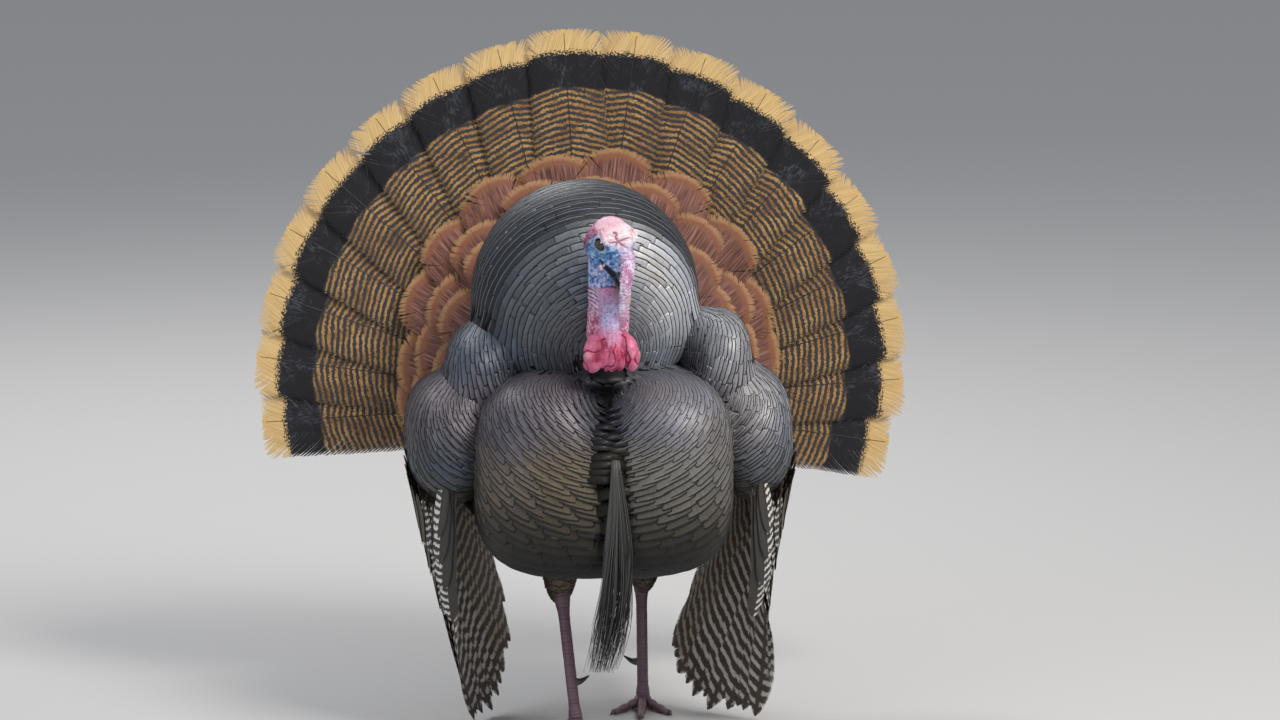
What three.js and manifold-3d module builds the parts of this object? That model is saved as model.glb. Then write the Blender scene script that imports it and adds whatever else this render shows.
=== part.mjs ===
// A male wild turkey in full display, life size, as a still museum model.
// Millimetres. The bird faces -Y, +Z is up, and the floor is z = 0. Its own right side is -X.
// Every sub-part is one closed solid, and each gives way to the ones built before it.

import * as THREE from "three";
import { mergeVertices } from "three/addons/utils/BufferGeometryUtils.js";
import Module from "manifold-3d";

const wasm = await Module();
wasm.setup();

// ---- Driving dimensions ----

const GAP = 0.4; // clearance left between neighbouring solids
const SHARPEST = 0.3; // share of a corner's spread beyond which its clearance stops growing

const HUB = new THREE.Vector3(0, 150, 352); // where the shafts of the tail feathers would meet
const FAN = {
  count: 18,
  lean: 6, // degrees that the fan leans back
  topReach: 457, // hub to tip of the middle feathers
  rightReach: 400, // hub to tip of the lowest feather on the bird's right
  leftReach: 376,
  lowRight: -3, // degrees above level of the lowest feather on the bird's right
  lowLeft: -8,
  quillStart: 62,
  halfWidth: 42,
  tilt: 5, // degrees that each vane is turned about its own shaft, as a louvre is
  step: 1.1, // each feather lies this much behind its inner neighbour
  topLift: 3, // and the uppermost one this much in front
  bodyClear: 9, // the body stops this far before the fan's face
  ventClear: 18, // and the vent begins this far behind it
};
const SLAB = { wide: 900, deep: 400, tall: 1400 };

const MANTLE = { centre: [-15, -36, 509], radii: [135, 140, 140] };
const BREAST = { centre: [0, -112, 317], radii: [153, 146, 123] };
const BREAST_SQUARENESS = 3.5; // power of the breast's outline, where 2 is an egg
const CLEFT = { depth: 0.16, width: 0.11, lowest: -0.95, highest: 0.3 }; // shares of the breast's radius
const SQUARENESS = 2.5; // the same for the lobes of the wings
const SCAPULARS = {
  right: { centre: [-136, -52, 428], radii: [44, 92, 52] },
  left: { centre: [139, -48, 440], radii: [42, 92, 54] },
};
const SHOULDER = {
  right: { centre: [-172, -38, 350], radii: [58, 128, 69] },
  left: { centre: [174, -32, 352], radii: [56, 128, 73] },
};
const WRIST = {
  right: { centre: [-177, -104, 322], radii: [30, 42, 46] },
  left: { centre: [179, -102, 326], radii: [29, 42, 45] },
};
const TRUNK = { centre: [0, 22, 322], radii: [182, 172, 142] };
const RUMP = { centre: [-4, 62, 480], radii: [112, 96, 128] };
const VENT = { centre: [0, 168, 268], radii: [96, 58, 82] };

const HEAD_CENTRE = new THREE.Vector3(2, -205, 600);
const BILL_AIM = new THREE.Vector3(30, -28, -66).normalize(); // from the skull towards the bill tip
const EYE_RADIUS = 6.2;
const EYE = { ahead: 6.5, aside: 28.4, up: 8 }; // middle of each eye from the middle of the skull

const LEGS = {
  right: { hock: [-44, -58, 152], ankle: [-31, -104, 17], toeTurn: 8, knee: [-50, -44, 236] },
  left: { hock: [56, 22, 152], ankle: [58, 24, 17], toeTurn: -6, knee: [60, 12, 236] },
};
const TOES = [
  { angle: 0, length: 84 },
  { angle: 34, length: 66 },
  { angle: -34, length: 66 },
  { angle: 180, length: 34 },
];
const TOE_RADIUS = 6.4;
const SHANK_RADIUS = 7.4;
const SPUR_LENGTH = 22;
const COVERT_THICKNESS = 2.6;

const BEARD = { root: [7, -254, 350], drop: 256 };

// ---- Closed shapes ----

const vec = (p) => new THREE.Vector3(p[0], p[1], p[2]);
const mix = (a, b, t) => a + (b - a) * t;
const radians = THREE.MathUtils.degToRad;

/** Value of a smooth line through (place, value) pairs, at place x. */
function along(pairs, x) {
  const last = pairs.length - 1;
  if (x <= pairs[0][0]) return pairs[0][1];
  for (let i = 0; i < last; i += 1) {
    const [x0, y0] = pairs[i];
    const [x1, y1] = pairs[i + 1];
    if (x <= x1) return mix(y0, y1, THREE.MathUtils.smootherstep(x, x0, x1) * 0.5 + (0.5 * (x - x0)) / (x1 - x0));
  }
  return pairs[last][1];
}

function merged(geometry) {
  geometry.deleteAttribute("normal");
  geometry.deleteAttribute("uv");
  return mergeVertices(geometry, 1e-4);
}

/** Closed skin over a row of rings that all have the same number of points. */
function loft(rings) {
  const size = rings[0].length;
  const places = rings.flat();
  const faces = [];
  for (let r = 0; r + 1 < rings.length; r += 1) {
    for (let i = 0; i < size; i += 1) {
      const a = r * size + i;
      const b = r * size + ((i + 1) % size);
      faces.push(a, b, b + size, a, b + size, a + size);
    }
  }
  const ends = [rings[0], rings[rings.length - 1]];
  for (const [which, ring] of ends.entries()) {
    const hub = places.length;
    const start = which * (rings.length - 1) * size;
    places.push(ring.reduce((sum, p) => sum.add(p), new THREE.Vector3()).divideScalar(size));
    for (let i = 0; i < size; i += 1) {
      const a = start + i;
      const b = start + ((i + 1) % size);
      faces.push(...(which ? [hub, a, b] : [hub, b, a]));
    }
  }
  const geometry = new THREE.BufferGeometry().setFromPoints(places);
  geometry.setIndex(faces);
  return faceOut(mergeVertices(geometry, 1e-4));
}

function volume(geometry) {
  const p = geometry.getAttribute("position");
  const index = geometry.getIndex();
  const [a, b, c] = [new THREE.Vector3(), new THREE.Vector3(), new THREE.Vector3()];
  let sum = 0;
  for (let i = 0; i < index.count; i += 3) {
    a.fromBufferAttribute(p, index.getX(i));
    b.fromBufferAttribute(p, index.getX(i + 1));
    c.fromBufferAttribute(p, index.getX(i + 2));
    sum += a.dot(b.cross(c)) / 6;
  }
  return sum;
}

function faceOut(geometry) {
  if (volume(geometry) < 0) {
    const order = geometry.getIndex().array;
    for (let i = 0; i < order.length; i += 3) [order[i], order[i + 1]] = [order[i + 1], order[i]];
  }
  return geometry;
}

/** Egg-like body: a sphere whose points are scaled, then pushed by shape(point on the unit sphere). */
function ovoid({ centre, radii }, { around = 20, rings = 14, turn = [0, 0, 0], shape } = {}) {
  const geometry = merged(new THREE.SphereGeometry(1, around, rings));
  const p = geometry.getAttribute("position");
  const spin = new THREE.Euler(...turn.map(radians));
  const v = new THREE.Vector3();
  for (let i = 0; i < p.count; i += 1) {
    v.fromBufferAttribute(p, i);
    v.set(v.x, -v.z, v.y); // the sphere's poles lie along Z
    const push = shape ? shape(v) : 1;
    v.set(v.x * radii[0], v.y * radii[1], v.z * radii[2]).multiplyScalar(push);
    v.applyEuler(spin).add(vec(centre));
    p.setXYZ(i, v.x, v.y, v.z);
  }
  return faceOut(geometry);
}

/** Round limb carried along a curve: radius(t) gives [half width, half depth] of the section. */
function limb(points, radius, { steps = 8, sides = 8, across = new THREE.Vector3(1, 0, 0) } = {}) {
  const curve = new THREE.CatmullRomCurve3(points.map((p) => (Array.isArray(p) ? vec(p) : p)));
  const rings = [];
  for (let s = 0; s <= steps; s += 1) {
    const t = s / steps;
    const at = curve.getPoint(t);
    const ahead = curve.getTangent(t);
    const side = across.clone().addScaledVector(ahead, -across.dot(ahead)).normalize();
    const depth = new THREE.Vector3().crossVectors(ahead, side);
    const [w, d] = radius(t);
    const ring = [];
    for (let i = 0; i < sides; i += 1) {
      const turn = ((i + 0.5) / sides) * 2 * Math.PI;
      const out = side.clone().multiplyScalar(Math.cos(turn) * w);
      ring.push(out.addScaledVector(depth, Math.sin(turn) * d).add(at));
    }
    rings.push(ring);
  }
  return loft(rings);
}

/** Thin plate over a grid of columns of points, with half its thickness on each side. */
function plate(columns, normals, half) {
  const rings = columns.map((column, c) => {
    const front = column.map((p) => p.clone().addScaledVector(normals[c], -half));
    const back = column.map((p) => p.clone().addScaledVector(normals[c], half));
    return [...front, ...back.reverse()];
  });
  return loft(rings);
}

// ---- Joining and cutting ----

function toSolid(geometry) {
  const vertProperties = new Float32Array(geometry.getAttribute("position").array);
  const triVerts = new Uint32Array(geometry.getIndex().array);
  return new wasm.Manifold(new wasm.Mesh({ numProp: 3, vertProperties, triVerts }));
}

function toGeometry(solid) {
  const mesh = solid.getMesh();
  const geometry = new THREE.BufferGeometry();
  geometry.setAttribute("position", new THREE.BufferAttribute(new Float32Array(mesh.vertProperties), 3));
  geometry.setIndex(new THREE.BufferAttribute(new Uint32Array(mesh.triVerts), 1));
  return mergeVertices(geometry, 1e-4);
}

/** The same shape with every face moved out by the gap, which is the room that a neighbour leaves it. */
function swollen(geometry, by) {
  const grown = geometry.clone();
  const p = grown.getAttribute("position");
  const index = grown.getIndex();
  const facing = Array.from({ length: p.count }, () => []);
  const corners = [new THREE.Vector3(), new THREE.Vector3(), new THREE.Vector3()];
  const triangle = new THREE.Triangle(...corners);
  for (let f = 0; f < index.count; f += 3) {
    corners.forEach((corner, k) => corner.fromBufferAttribute(p, index.getX(f + k)));
    const normal = triangle.getNormal(new THREE.Vector3());
    for (let k = 0; k < 3; k += 1) facing[index.getX(f + k)].push(normal);
  }
  facing.forEach((normals, i) => {
    const out = normals.reduce((sum, n) => sum.add(n), new THREE.Vector3()).normalize();
    const least = Math.min(...normals.map((n) => n.dot(out)));
    out.multiplyScalar(by / Math.max(least, SHARPEST));
    p.setXYZ(i, p.getX(i) + out.x, p.getY(i) + out.y, p.getZ(i) + out.z);
  });
  return grown;
}

const join = (...shapes) => toGeometry(shapes.map(toSolid).reduce((a, b) => a.add(b)));

/** First shape with each of the others taken away. */
function cut(shape, ...tools) {
  return toGeometry(tools.map(toSolid).reduce((a, b) => a.subtract(b), toSolid(shape)));
}

/** A block for cutting: everything below the floor, or either side of the fan. */
function block(size, centre, turn = [0, 0, 0]) {
  const box = merged(new THREE.BoxGeometry(...size));
  box.applyMatrix4(new THREE.Matrix4().makeRotationFromEuler(new THREE.Euler(...turn.map(radians))));
  return box.translate(...centre);
}

const underFloor = block([2000, 2000, 200], [0, 0, -100]);

/** Largest single body of a shape, which drops the slivers that a cut leaves. */
function mainBody(geometry) {
  const bodies = toSolid(geometry).decompose();
  bodies.sort((a, b) => b.volume() - a.volume());
  return toGeometry(bodies[0]);
}

/** -1 for the bird's right, which is -X, and 1 for its left. */
const sideSign = (side) => (side === "right" ? -1 : 1);

// ---- Tail ----

const fanTurn = new THREE.Matrix4().makeRotationX(radians(-FAN.lean));

/** Point of the fan: distance out from the hub at an angle above level, and depth behind its face. */
function fanPoint(reach, angle, depth) {
  const a = radians(angle);
  return new THREE.Vector3(reach * Math.cos(a), depth, reach * Math.sin(a)).applyMatrix4(fanTurn).add(HUB);
}

const fanBack = new THREE.Vector3(0, 1, 0).applyMatrix4(fanTurn);

/** Place of tail feather i, counted from the bird's left. The one numbered count / 2 lies over the rest. */
function rectrix(i) {
  const t = i / (FAN.count - 1);
  const angle = mix(FAN.lowLeft, 180 - FAN.lowRight, t);
  const side = Math.abs(t - 0.5) * 2;
  const reach = mix(FAN.topReach, t < 0.5 ? FAN.leftReach : FAN.rightReach, side ** 1.35);
  return { angle, reach, fromTop: i - FAN.count / 2 };
}

const VANE_OUTLINE = [
  [0, 0.07],
  [0.1, 0.16],
  [0.3, 0.74],
  [0.55, 0.94],
  [0.93, 1],
  [0.975, 0.78],
  [1, 0.34],
];

/** One big tail feather: a flat vane, thickest at the quill, that curves slightly forward at the tip. */
function rectrixVane(i) {
  const { angle, reach, fromTop } = rectrix(i);
  const out = fanPoint(1, angle, 0).sub(HUB);
  const across = new THREE.Vector3().crossVectors(out, fanBack).normalize();
  const lift = fanBack.clone();
  across.applyAxisAngle(out, radians(FAN.tilt) * Math.sign(fromTop));
  lift.applyAxisAngle(out, radians(FAN.tilt) * Math.sign(fromTop));
  const behind = Math.abs(fromTop) * FAN.step + (fromTop ? 0 : -FAN.topLift);
  const rings = VANE_OUTLINE.map(([t, share]) => {
    const r = mix(FAN.quillStart, reach, t);
    const at = fanPoint(r, angle, behind - 10 * t * t);
    const w = FAN.halfWidth * share;
    const half = mix(1.2, 0.5, t);
    const section = [
      [-w, -half],
      [w, -half],
      [w, half],
      [-w, half],
    ];
    return section.map(([x, d]) => at.clone().addScaledVector(across, x).addScaledVector(lift, d));
  });
  return loft(rings);
}

/** A row of rounded coverts on one face of the fan, as one scalloped plate that is a shallow cone. */
function covertRow({ scallops, top, sideReach, inner, depth, low, face, clear }) {
  const columns = [];
  const perScallop = 2;
  const count = scallops * perScallop;
  for (let c = 0; c <= count; c += 1) {
    const angle = mix(low, 180 - low, c / count);
    const phase = (c % perScallop) / perScallop;
    const round = 1 - 0.05 * (1 - Math.sin(Math.PI * phase));
    const reach = mix(sideReach, top, Math.sin(radians(Math.max(angle, 0))) ** 2) * round;
    const column = [0, 1].map((t) => {
      return fanPoint(mix(inner, reach, t), angle, face * (clear + depth * (1 - 0.62 * t)));
    });
    columns.push(column);
  }
  return plate(columns, columns.map(() => fanBack), COVERT_THICKNESS / 2);
}

// ---- Body ----

/** Slab as wide as the fan that takes away all that lies on one side of a depth behind the fan's face. */
function fanSlab(depth, side) {
  return block([SLAB.wide, SLAB.deep, SLAB.tall], fanPoint(0, 0, depth + (side * SLAB.deep) / 2).toArray(), [
    -FAN.lean,
    0,
    0,
  ]);
}

const fanFront = fanSlab(-FAN.bodyClear, 1);
const fanRear = fanSlab(FAN.ventClear, -1);

/** A lobe of feathers, a little squarer than an egg. */
const plump = (v, power = SQUARENESS) =>
  (Math.abs(v.x) ** power + Math.abs(v.y) ** power + Math.abs(v.z) ** power) ** (-1 / power);

/** The puffed breast: one wide bowl whose upper half is parted by a groove down the front. */
function cleftBreast(v) {
  const deep = CLEFT.depth * THREE.MathUtils.smoothstep(v.z, CLEFT.lowest, CLEFT.highest);
  const bowl = plump(v, BREAST_SQUARENESS);
  return v.y < 0 ? bowl * (1 - deep * Math.exp(-((v.x / CLEFT.width) ** 2))) : bowl;
}

const breast = ovoid(BREAST, { around: 20, rings: 10, shape: cleftBreast });

/** Blocks that part the breast down its middle, with a thin gap between them. */
const HALF_BLOCK = { wide: 400, deep: 800, tall: 900 };
const halfBlock = (side) =>
  block([HALF_BLOCK.wide, HALF_BLOCK.deep, HALF_BLOCK.tall], [side * (HALF_BLOCK.wide / 2 - GAP), -200, 300]);

// ---- Head and neck ----

const headUp = new THREE.Vector3(0, 0, 1).addScaledVector(BILL_AIM, -BILL_AIM.z).normalize();
const headSide = new THREE.Vector3().crossVectors(headUp, BILL_AIM).normalize();

/** Place in the head's own frame: ahead towards the bill, to the bird's left, and up over the crown. */
function onHead(ahead, left, up) {
  return HEAD_CENTRE.clone()
    .addScaledVector(BILL_AIM, ahead)
    .addScaledVector(headSide, left)
    .addScaledVector(headUp, up);
}

function head() {
  const path = [
    onHead(-14.7, 0, -9.7),
    onHead(-6.7, 0, -3.7),
    onHead(4.3, 0, -1.7),
    onHead(23.3, 0, -5.7),
    onHead(44, 0, -9),
  ];
  const width = [
    [0, 21],
    [0.2, 31.8],
    [0.42, 35.8],
    [0.65, 29],
    [0.85, 18],
    [1, 9],
  ];
  const height = [
    [0, 16.5],
    [0.2, 28.2],
    [0.42, 31.4],
    [0.65, 26.8],
    [0.85, 16.5],
    [1, 9],
  ];
  return limb(path, (t) => [along(width, t), along(height, t)], { steps: 9, sides: 10, across: headSide });
}

function bill(upper) {
  const sign = upper ? 1 : -1;
  const drop = upper ? -5 : -13;
  const path = [onHead(36, 0, drop), onHead(54, 0, drop - 1), onHead(70, 0, drop - (upper ? 6 : 2)),
    onHead(upper ? 82 : 76, 0, drop - (upper ? 13 : 4))];
  const half = (t) => [mix(8.5, 2.2, t ** 1.3), mix(upper ? 6.5 : 4, upper ? 1.6 : 1.2, t)];
  return limb(path, half, { steps: 6, sides: 8, across: headSide.clone().multiplyScalar(sign) });
}

function eye(side) {
  const at = onHead(EYE.ahead, side * EYE.aside, EYE.up);
  return ovoid({ centre: at.toArray(), radii: [EYE_RADIUS, EYE_RADIUS, EYE_RADIUS] }, { around: 8, rings: 6 });
}

function snood() {
  const path = [onHead(22, 0, 16), onHead(33, 0, 17), [19, -256, 556], [16, -257, 525], [15, -255, 499]];
  return limb(path, (t) => [mix(12, 4.6, t ** 0.7), mix(9, 4.4, t)], { steps: 9, sides: 8, across: headSide });
}

function neck() {
  const path = [[2, -186, 590], [1, -194, 560], [3, -196, 528], [2, -190, 490], [3, -180, 448], [2, -150, 410]];
  return limb(path, (t) => [mix(23, 27, t), mix(21, 27, t)], { steps: 7, sides: 10 });
}

const CARUNCLE_LOBES = [
  { centre: [-15, -222, 470], radii: [14.5, 15, 23], turn: [0, 8, 0] },
  { centre: [-4, -224, 464], radii: [9, 12, 17], turn: [0, 4, 0] },
  { centre: [8, -228, 464], radii: [11.5, 13, 16], turn: [0, -4, 0] },
  { centre: [25, -222, 470], radii: [11.5, 14, 22], turn: [0, -9, 0] },
];

const caruncles = () =>
  join(...CARUNCLE_LOBES.map((lobe) => ovoid(lobe, { around: 8, rings: 5, turn: lobe.turn })));

function beard() {
  const [x, y, z] = BEARD.root;
  const sway = (t) => 5 * Math.sin(3.1 * t) - 17 * t ** 3;
  const path = [0, 0.25, 0.5, 0.75, 1].map((t) => [x + sway(t), y - 14 * t + 26 * t * t, z - BEARD.drop * t]);
  const width = [
    [0, 4.5],
    [0.4, 17],
    [0.75, 21.5],
    [1, 16],
  ];
  return limb(path, (t) => [along(width, t), along(width, t) * 0.45], { steps: 8, sides: 8 });
}

// ---- Wings ----

const WING = {
  primaries: 10,
  secondaries: 10,
  secondaryNotches: 6, // on the sheet of secondaries, whose tips lie closer together
  start: 0.08, // share of the feathers' length at which the sheets begin
  half: 1.4,
  bow: 15,
};

/** Points of the hand and forearm where flight feathers grow, c = 0 at the leading feather. */
const FEATHER_ROOTS = new THREE.CatmullRomCurve3(
  [[174, -132, 262], [208, -116, 278], [219, -88, 318], [208, -30, 352], [172, 40, 368]].map(vec),
);

/** Where their tips lie. The left wing hangs a little more upright and more open than the right. */
const FEATHER_TIPS = {
  right: new THREE.CatmullRomCurve3(
    [[150, -58, -4], [138, -34, -4], [114, 8, 8], [94, 54, 46], [96, 108, 98], [114, 150, 162]].map(vec),
  ),
  left: new THREE.CatmullRomCurve3(
    [[190, -58, -4], [158, -32, -4], [116, 6, 4], [86, 52, 48], [112, 112, 106], [150, 166, 176]].map(vec),
  ),
};

/** Point on the drooped wing's sheet: c runs from leading to last feather, t from root to tip. */
function wingPoint(side, c, t) {
  const root = FEATHER_ROOTS.getPoint(c);
  const tip = FEATHER_TIPS[side].getPoint(c);
  const p = root.lerp(tip, t);
  p.x += WING.bow * Math.sin(Math.PI * Math.min(t, 1)) * (1 - 0.5 * c);
  p.x *= sideSign(side);
  return p;
}

/** Flight feathers as a thin sheet with notches between their tips, and the room round them. */
function flightFeathers(side, from, to, tips) {
  const columns = [];
  for (let c = 0; c <= tips * 2; c += 1) {
    const at = mix(from, to, c / (tips * 2));
    const end = c % 2 ? 1 : mix(0.9, 0.95, at);
    columns.push([0, 0.45, 0.9, 1].map((t) => wingPoint(side, at, mix(WING.start, end, t))));
  }
  const outward = new THREE.Vector3(sideSign(side), 0.35, 0.1).normalize();
  const facing = columns.map(() => outward);
  return {
    sheet: cut(plate(columns, facing, WING.half), underFloor),
    room: swollen(plate(columns, facing, WING.half + GAP), GAP),
  };
}

const ALULA_PATH = [[176, -143, 300], [183, -148, 240], [185, -140, 185], [178, -118, 122]];

/** The thumb's feathers and the coverts on the hand, which face forward on the drooped wing. */
function alula(side) {
  const path = ALULA_PATH.map(([x, y, z]) => [x * sideSign(side), y, z]);
  const width = [
    [0, 12],
    [0.35, 17],
    [0.8, 13],
    [1, 3],
  ];
  const across = new THREE.Vector3(sideSign(side), -0.3, 0).normalize();
  return limb(path, (t) => [along(width, t), mix(8, 2, t)], { steps: 6, sides: 6, across });
}

// ---- Legs ----

function thigh(side) {
  const { knee, hock } = LEGS[side];
  const width = [
    [0, 32],
    [0.5, 26],
    [0.85, 17],
    [1, 11],
  ];
  const mid = [mix(knee[0], hock[0], 0.5), mix(knee[1], hock[1], 0.5) + 4, mix(knee[2], hock[2], 0.5)];
  return limb([knee, mid, hock], (t) => [along(width, t), along(width, t) * 1.1], { steps: 4, sides: 8 });
}

function shank(side) {
  const { hock, ankle } = LEGS[side];
  const below = [ankle[0], ankle[1], ankle[2] - 9];
  const thick = (t) => {
    const knob = 2.6 * Math.exp(-((t * 9) ** 2)) + 1.6 * Math.exp(-(((1 - t) * 9) ** 2));
    return [SHANK_RADIUS * 0.92 + knob, SHANK_RADIUS + knob];
  };
  return limb([hock, [mix(hock[0], ankle[0], 0.5), mix(hock[1], ankle[1], 0.5), 84], below], thick, {
    steps: 7,
    sides: 8,
  });
}

/** Spur: a horny cone on the inner back of the shank, turned inward and curved up. */
function spur(side) {
  const { hock, ankle } = LEGS[side];
  const inward = -sideSign(side);
  const x = mix(ankle[0], hock[0], 0.28);
  const y = mix(ankle[1], hock[1], 0.28);
  const z = mix(ankle[2], hock[2], 0.28);
  const tip = SPUR_LENGTH * 0.8;
  const path = [[x + inward * 4, y + 4, z], [x + inward * 12, y + 10, z], [x + inward * (5 + tip), y + 15, z + 6]];
  return limb(path, (t) => [mix(5, 0.7, t), mix(5, 0.7, t)], { steps: 4, sides: 7, across: vec([0, 1, 0]) });
}

/** Foot: three long toes and a short hind one, flat below where they meet the floor. */
function foot(side) {
  const { ankle, toeTurn } = LEGS[side];
  const pad = ovoid({ centre: [ankle[0], ankle[1], 8], radii: [12, 14, 13] }, { around: 8, rings: 4 });
  const toes = TOES.map(({ angle, length }) => {
    const a = radians(angle + toeTurn);
    const ahead = [Math.sin(a), -Math.cos(a)];
    const point = (r, z) => [ankle[0] + ahead[0] * r, ankle[1] + ahead[1] * r, z];
    const path = [[0.04, 11], [0.3, 7.6], [0.55, 5.6], [0.8, 4.6], [1, 2.2]].map(([t, z]) => point(length * t, z));
    const thick = (t) => {
      const joint = 0.6 * Math.cos(t * 6 * Math.PI);
      const r = t > 0.86 ? mix(3.4, 1, (t - 0.86) / 0.14) : mix(TOE_RADIUS, 4.6, t) + joint;
      return [r, r];
    };
    const across = new THREE.Vector3(-ahead[1], ahead[0], 0);
    return limb(path, thick, { steps: 4, sides: 6, across });
  });
  return cut(join(pad, ...toes), underFloor);
}

// ---- The bird ----

const COLOURS = {
  eye: 0x2a1c14,
  horn: 0xd9b983,
  spur: 0x2b2522,
  face: 0x7fa3d0,
  wattle: 0xd8557a,
  neck: 0xc98aa4,
  dark: 0x34333a,
  bronze: 0x5c5a48,
  violet: 0x5d5668,
  covert: 0x9a5b45,
  tail: 0xa87a46,
  flight: 0x8c8378,
  leg: 0x9a7280,
  bristle: 0x191716,
};

const bird = new THREE.Group();
const placed = [];

/** Adds a sub-part, cut back from every earlier one that it would run into. */
function add(name, colour, geometry, { roughness = 0.7, room = swollen(geometry, GAP) } = {}) {
  let body = geometry;
  const box = new THREE.Box3().setFromBufferAttribute(geometry.getAttribute("position"));
  for (const other of placed) {
    if (other.box.intersectsBox(box)) body = cut(body, other.room);
  }
  body = mainBody(body);
  const mesh = new THREE.Mesh(body, new THREE.MeshStandardMaterial({ color: colour, roughness, metalness: 0 }));
  mesh.name = name;
  bird.add(mesh);
  placed.push({ room, box: new THREE.Box3().setFromBufferAttribute(room.getAttribute("position")) });
}

/** Upper wing: the big lobe of the shoulder and the smaller one of the wrist below its front. */
function shoulder(side) {
  const upper = ovoid(SHOULDER[side], { around: 12, rings: 8, shape: plump });
  return join(upper, ovoid(WRIST[side], { around: 8, rings: 6 }));
}

add("eye_right", COLOURS.eye, eye(-1), { roughness: 0.1 });
add("eye_left", COLOURS.eye, eye(1), { roughness: 0.1 });
add("bill_upper", COLOURS.horn, bill(true), { roughness: 0.4 });
add("bill_lower", COLOURS.horn, bill(false), { roughness: 0.4 });
add("snood", COLOURS.neck, snood());
add("head", COLOURS.face, head());
add("caruncles", COLOURS.wattle, caruncles());
add("neck", COLOURS.neck, neck());
add("beard", COLOURS.bristle, beard());
add("breast_right", COLOURS.bronze, cut(breast, halfBlock(1)));
add("breast_left", COLOURS.bronze, cut(breast, halfBlock(-1)));
for (const side of ["right", "left"]) {
  add(`shank_${side}`, COLOURS.leg, shank(side));
  add(`foot_${side}`, COLOURS.leg, foot(side));
  add(`spur_${side}`, COLOURS.spur, spur(side), { roughness: 0.4 });
  add(`thigh_${side}`, COLOURS.dark, thigh(side));
}
for (const side of ["right", "left"]) {
  add(`scapulars_${side}`, COLOURS.violet, ovoid(SCAPULARS[side], { around: 10, rings: 7, shape: plump }));
  add(`shoulder_${side}`, COLOURS.violet, shoulder(side));
}
for (const side of ["right", "left"]) {
  add(`alula_${side}`, COLOURS.flight, alula(side));
  const wrist = WING.primaries / (WING.primaries + WING.secondaries);
  const primaries = flightFeathers(side, 0, wrist, WING.primaries);
  const secondaries = flightFeathers(side, wrist, 1, WING.secondaryNotches);
  add(`primaries_${side}`, COLOURS.flight, primaries.sheet, { room: primaries.room });
  add(`secondaries_${side}`, COLOURS.flight, secondaries.sheet, { room: secondaries.room });
}
add("mantle", COLOURS.dark, ovoid(MANTLE, { around: 12, rings: 7 }));
const back = join(ovoid(TRUNK, { around: 8, rings: 6 }), ovoid(RUMP, { around: 8, rings: 5 }));
add("trunk", COLOURS.bronze, cut(back, fanFront));
add("vent", COLOURS.covert, cut(ovoid(VENT, { around: 12, rings: 8 }), fanRear));
for (let i = 0; i < FAN.count; i += 1) {
  add(`rectrix_${String(i + 1).padStart(2, "0")}`, COLOURS.tail, rectrixVane(i));
}
const COVERT_ROWS = {
  covert_row_outer: { scallops: 12, top: 316, sideReach: 242, inner: 130, depth: 24, low: 2, face: -1, clear: 9 },
  covert_row_inner: { scallops: 10, top: 262, sideReach: 196, inner: 120, depth: 58, low: 2, face: -1, clear: 9 },
  undertail_coverts: { scallops: 9, top: 232, sideReach: 196, inner: 60, depth: 36, low: -12, face: 1, clear: 18 },
};
for (const [name, row] of Object.entries(COVERT_ROWS)) add(name, COLOURS.covert, covertRow(row));

// The origin is the middle of the bird's footprint on the floor.
const extent = new THREE.Box3().setFromObject(bird);
const middle = extent.getCenter(new THREE.Vector3());
bird.position.set(-middle.x, -middle.y, 0);

export default bird;
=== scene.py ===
"""A male wild turkey in full display, life size: skin, feathers, head, legs and a studio to see it in.

Shapes are worked out in millimetres in the bird's own frame, in which it faces -Y, its left side is +X
and the floor is z = 0. The function to_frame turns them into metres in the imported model's frame.
"""

import math

import bpy
import mathutils
import numpy as np
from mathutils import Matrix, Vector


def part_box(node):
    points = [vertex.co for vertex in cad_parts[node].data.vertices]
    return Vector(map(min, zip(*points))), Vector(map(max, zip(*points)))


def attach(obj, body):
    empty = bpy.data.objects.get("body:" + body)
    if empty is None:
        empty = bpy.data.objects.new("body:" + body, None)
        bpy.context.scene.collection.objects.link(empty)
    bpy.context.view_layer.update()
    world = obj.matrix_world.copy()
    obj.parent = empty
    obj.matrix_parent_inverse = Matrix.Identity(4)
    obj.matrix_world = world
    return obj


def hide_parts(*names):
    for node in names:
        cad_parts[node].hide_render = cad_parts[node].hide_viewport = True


bl_info = {
    "name": "Displaying Turkey",
    "version": (1, 0, 0),
    "blender": (4, 5, 0),
    "location": "3D View > Sidebar > Turkey",
    "description": "Builds the skin, feathers and head of a displaying turkey round its packed solids",
    "category": "Object",
}

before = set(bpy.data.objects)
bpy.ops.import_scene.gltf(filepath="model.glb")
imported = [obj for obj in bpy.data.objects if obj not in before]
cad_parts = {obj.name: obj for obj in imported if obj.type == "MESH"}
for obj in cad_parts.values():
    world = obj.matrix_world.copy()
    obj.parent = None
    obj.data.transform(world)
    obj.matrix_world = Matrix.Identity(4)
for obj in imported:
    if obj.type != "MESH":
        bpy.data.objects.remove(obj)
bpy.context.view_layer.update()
BODY = "root"
SIDES = ("right", "left")
MM = 0.001

# ---- Sizes shared with the solids, in millimetres ----

HUB = np.array([0.0, 150.0, 352.0])
FAN_LEAN = math.radians(6)
FAN_COUNT = 18
FAN_REACH = {"top": 455.0, "right": 398.0, "left": 374.0}
FAN_LOW = {"right": -3.0, "left": -8.0}
FAN_TILT = math.radians(5)

HEAD_CENTRE = np.array([2.0, -205.0, 600.0])
EYE_PLACE = np.array([6.5, 28.4, 8.0])  # ahead, sideways, up, in the head's own frame
EYE_RADIUS = 6.2


def unit(v):
    """v divided by its length, along the last axis."""
    v = np.asarray(v, float)
    return v / np.maximum(np.linalg.norm(v, axis=-1, keepdims=True), 1e-12)


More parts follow.
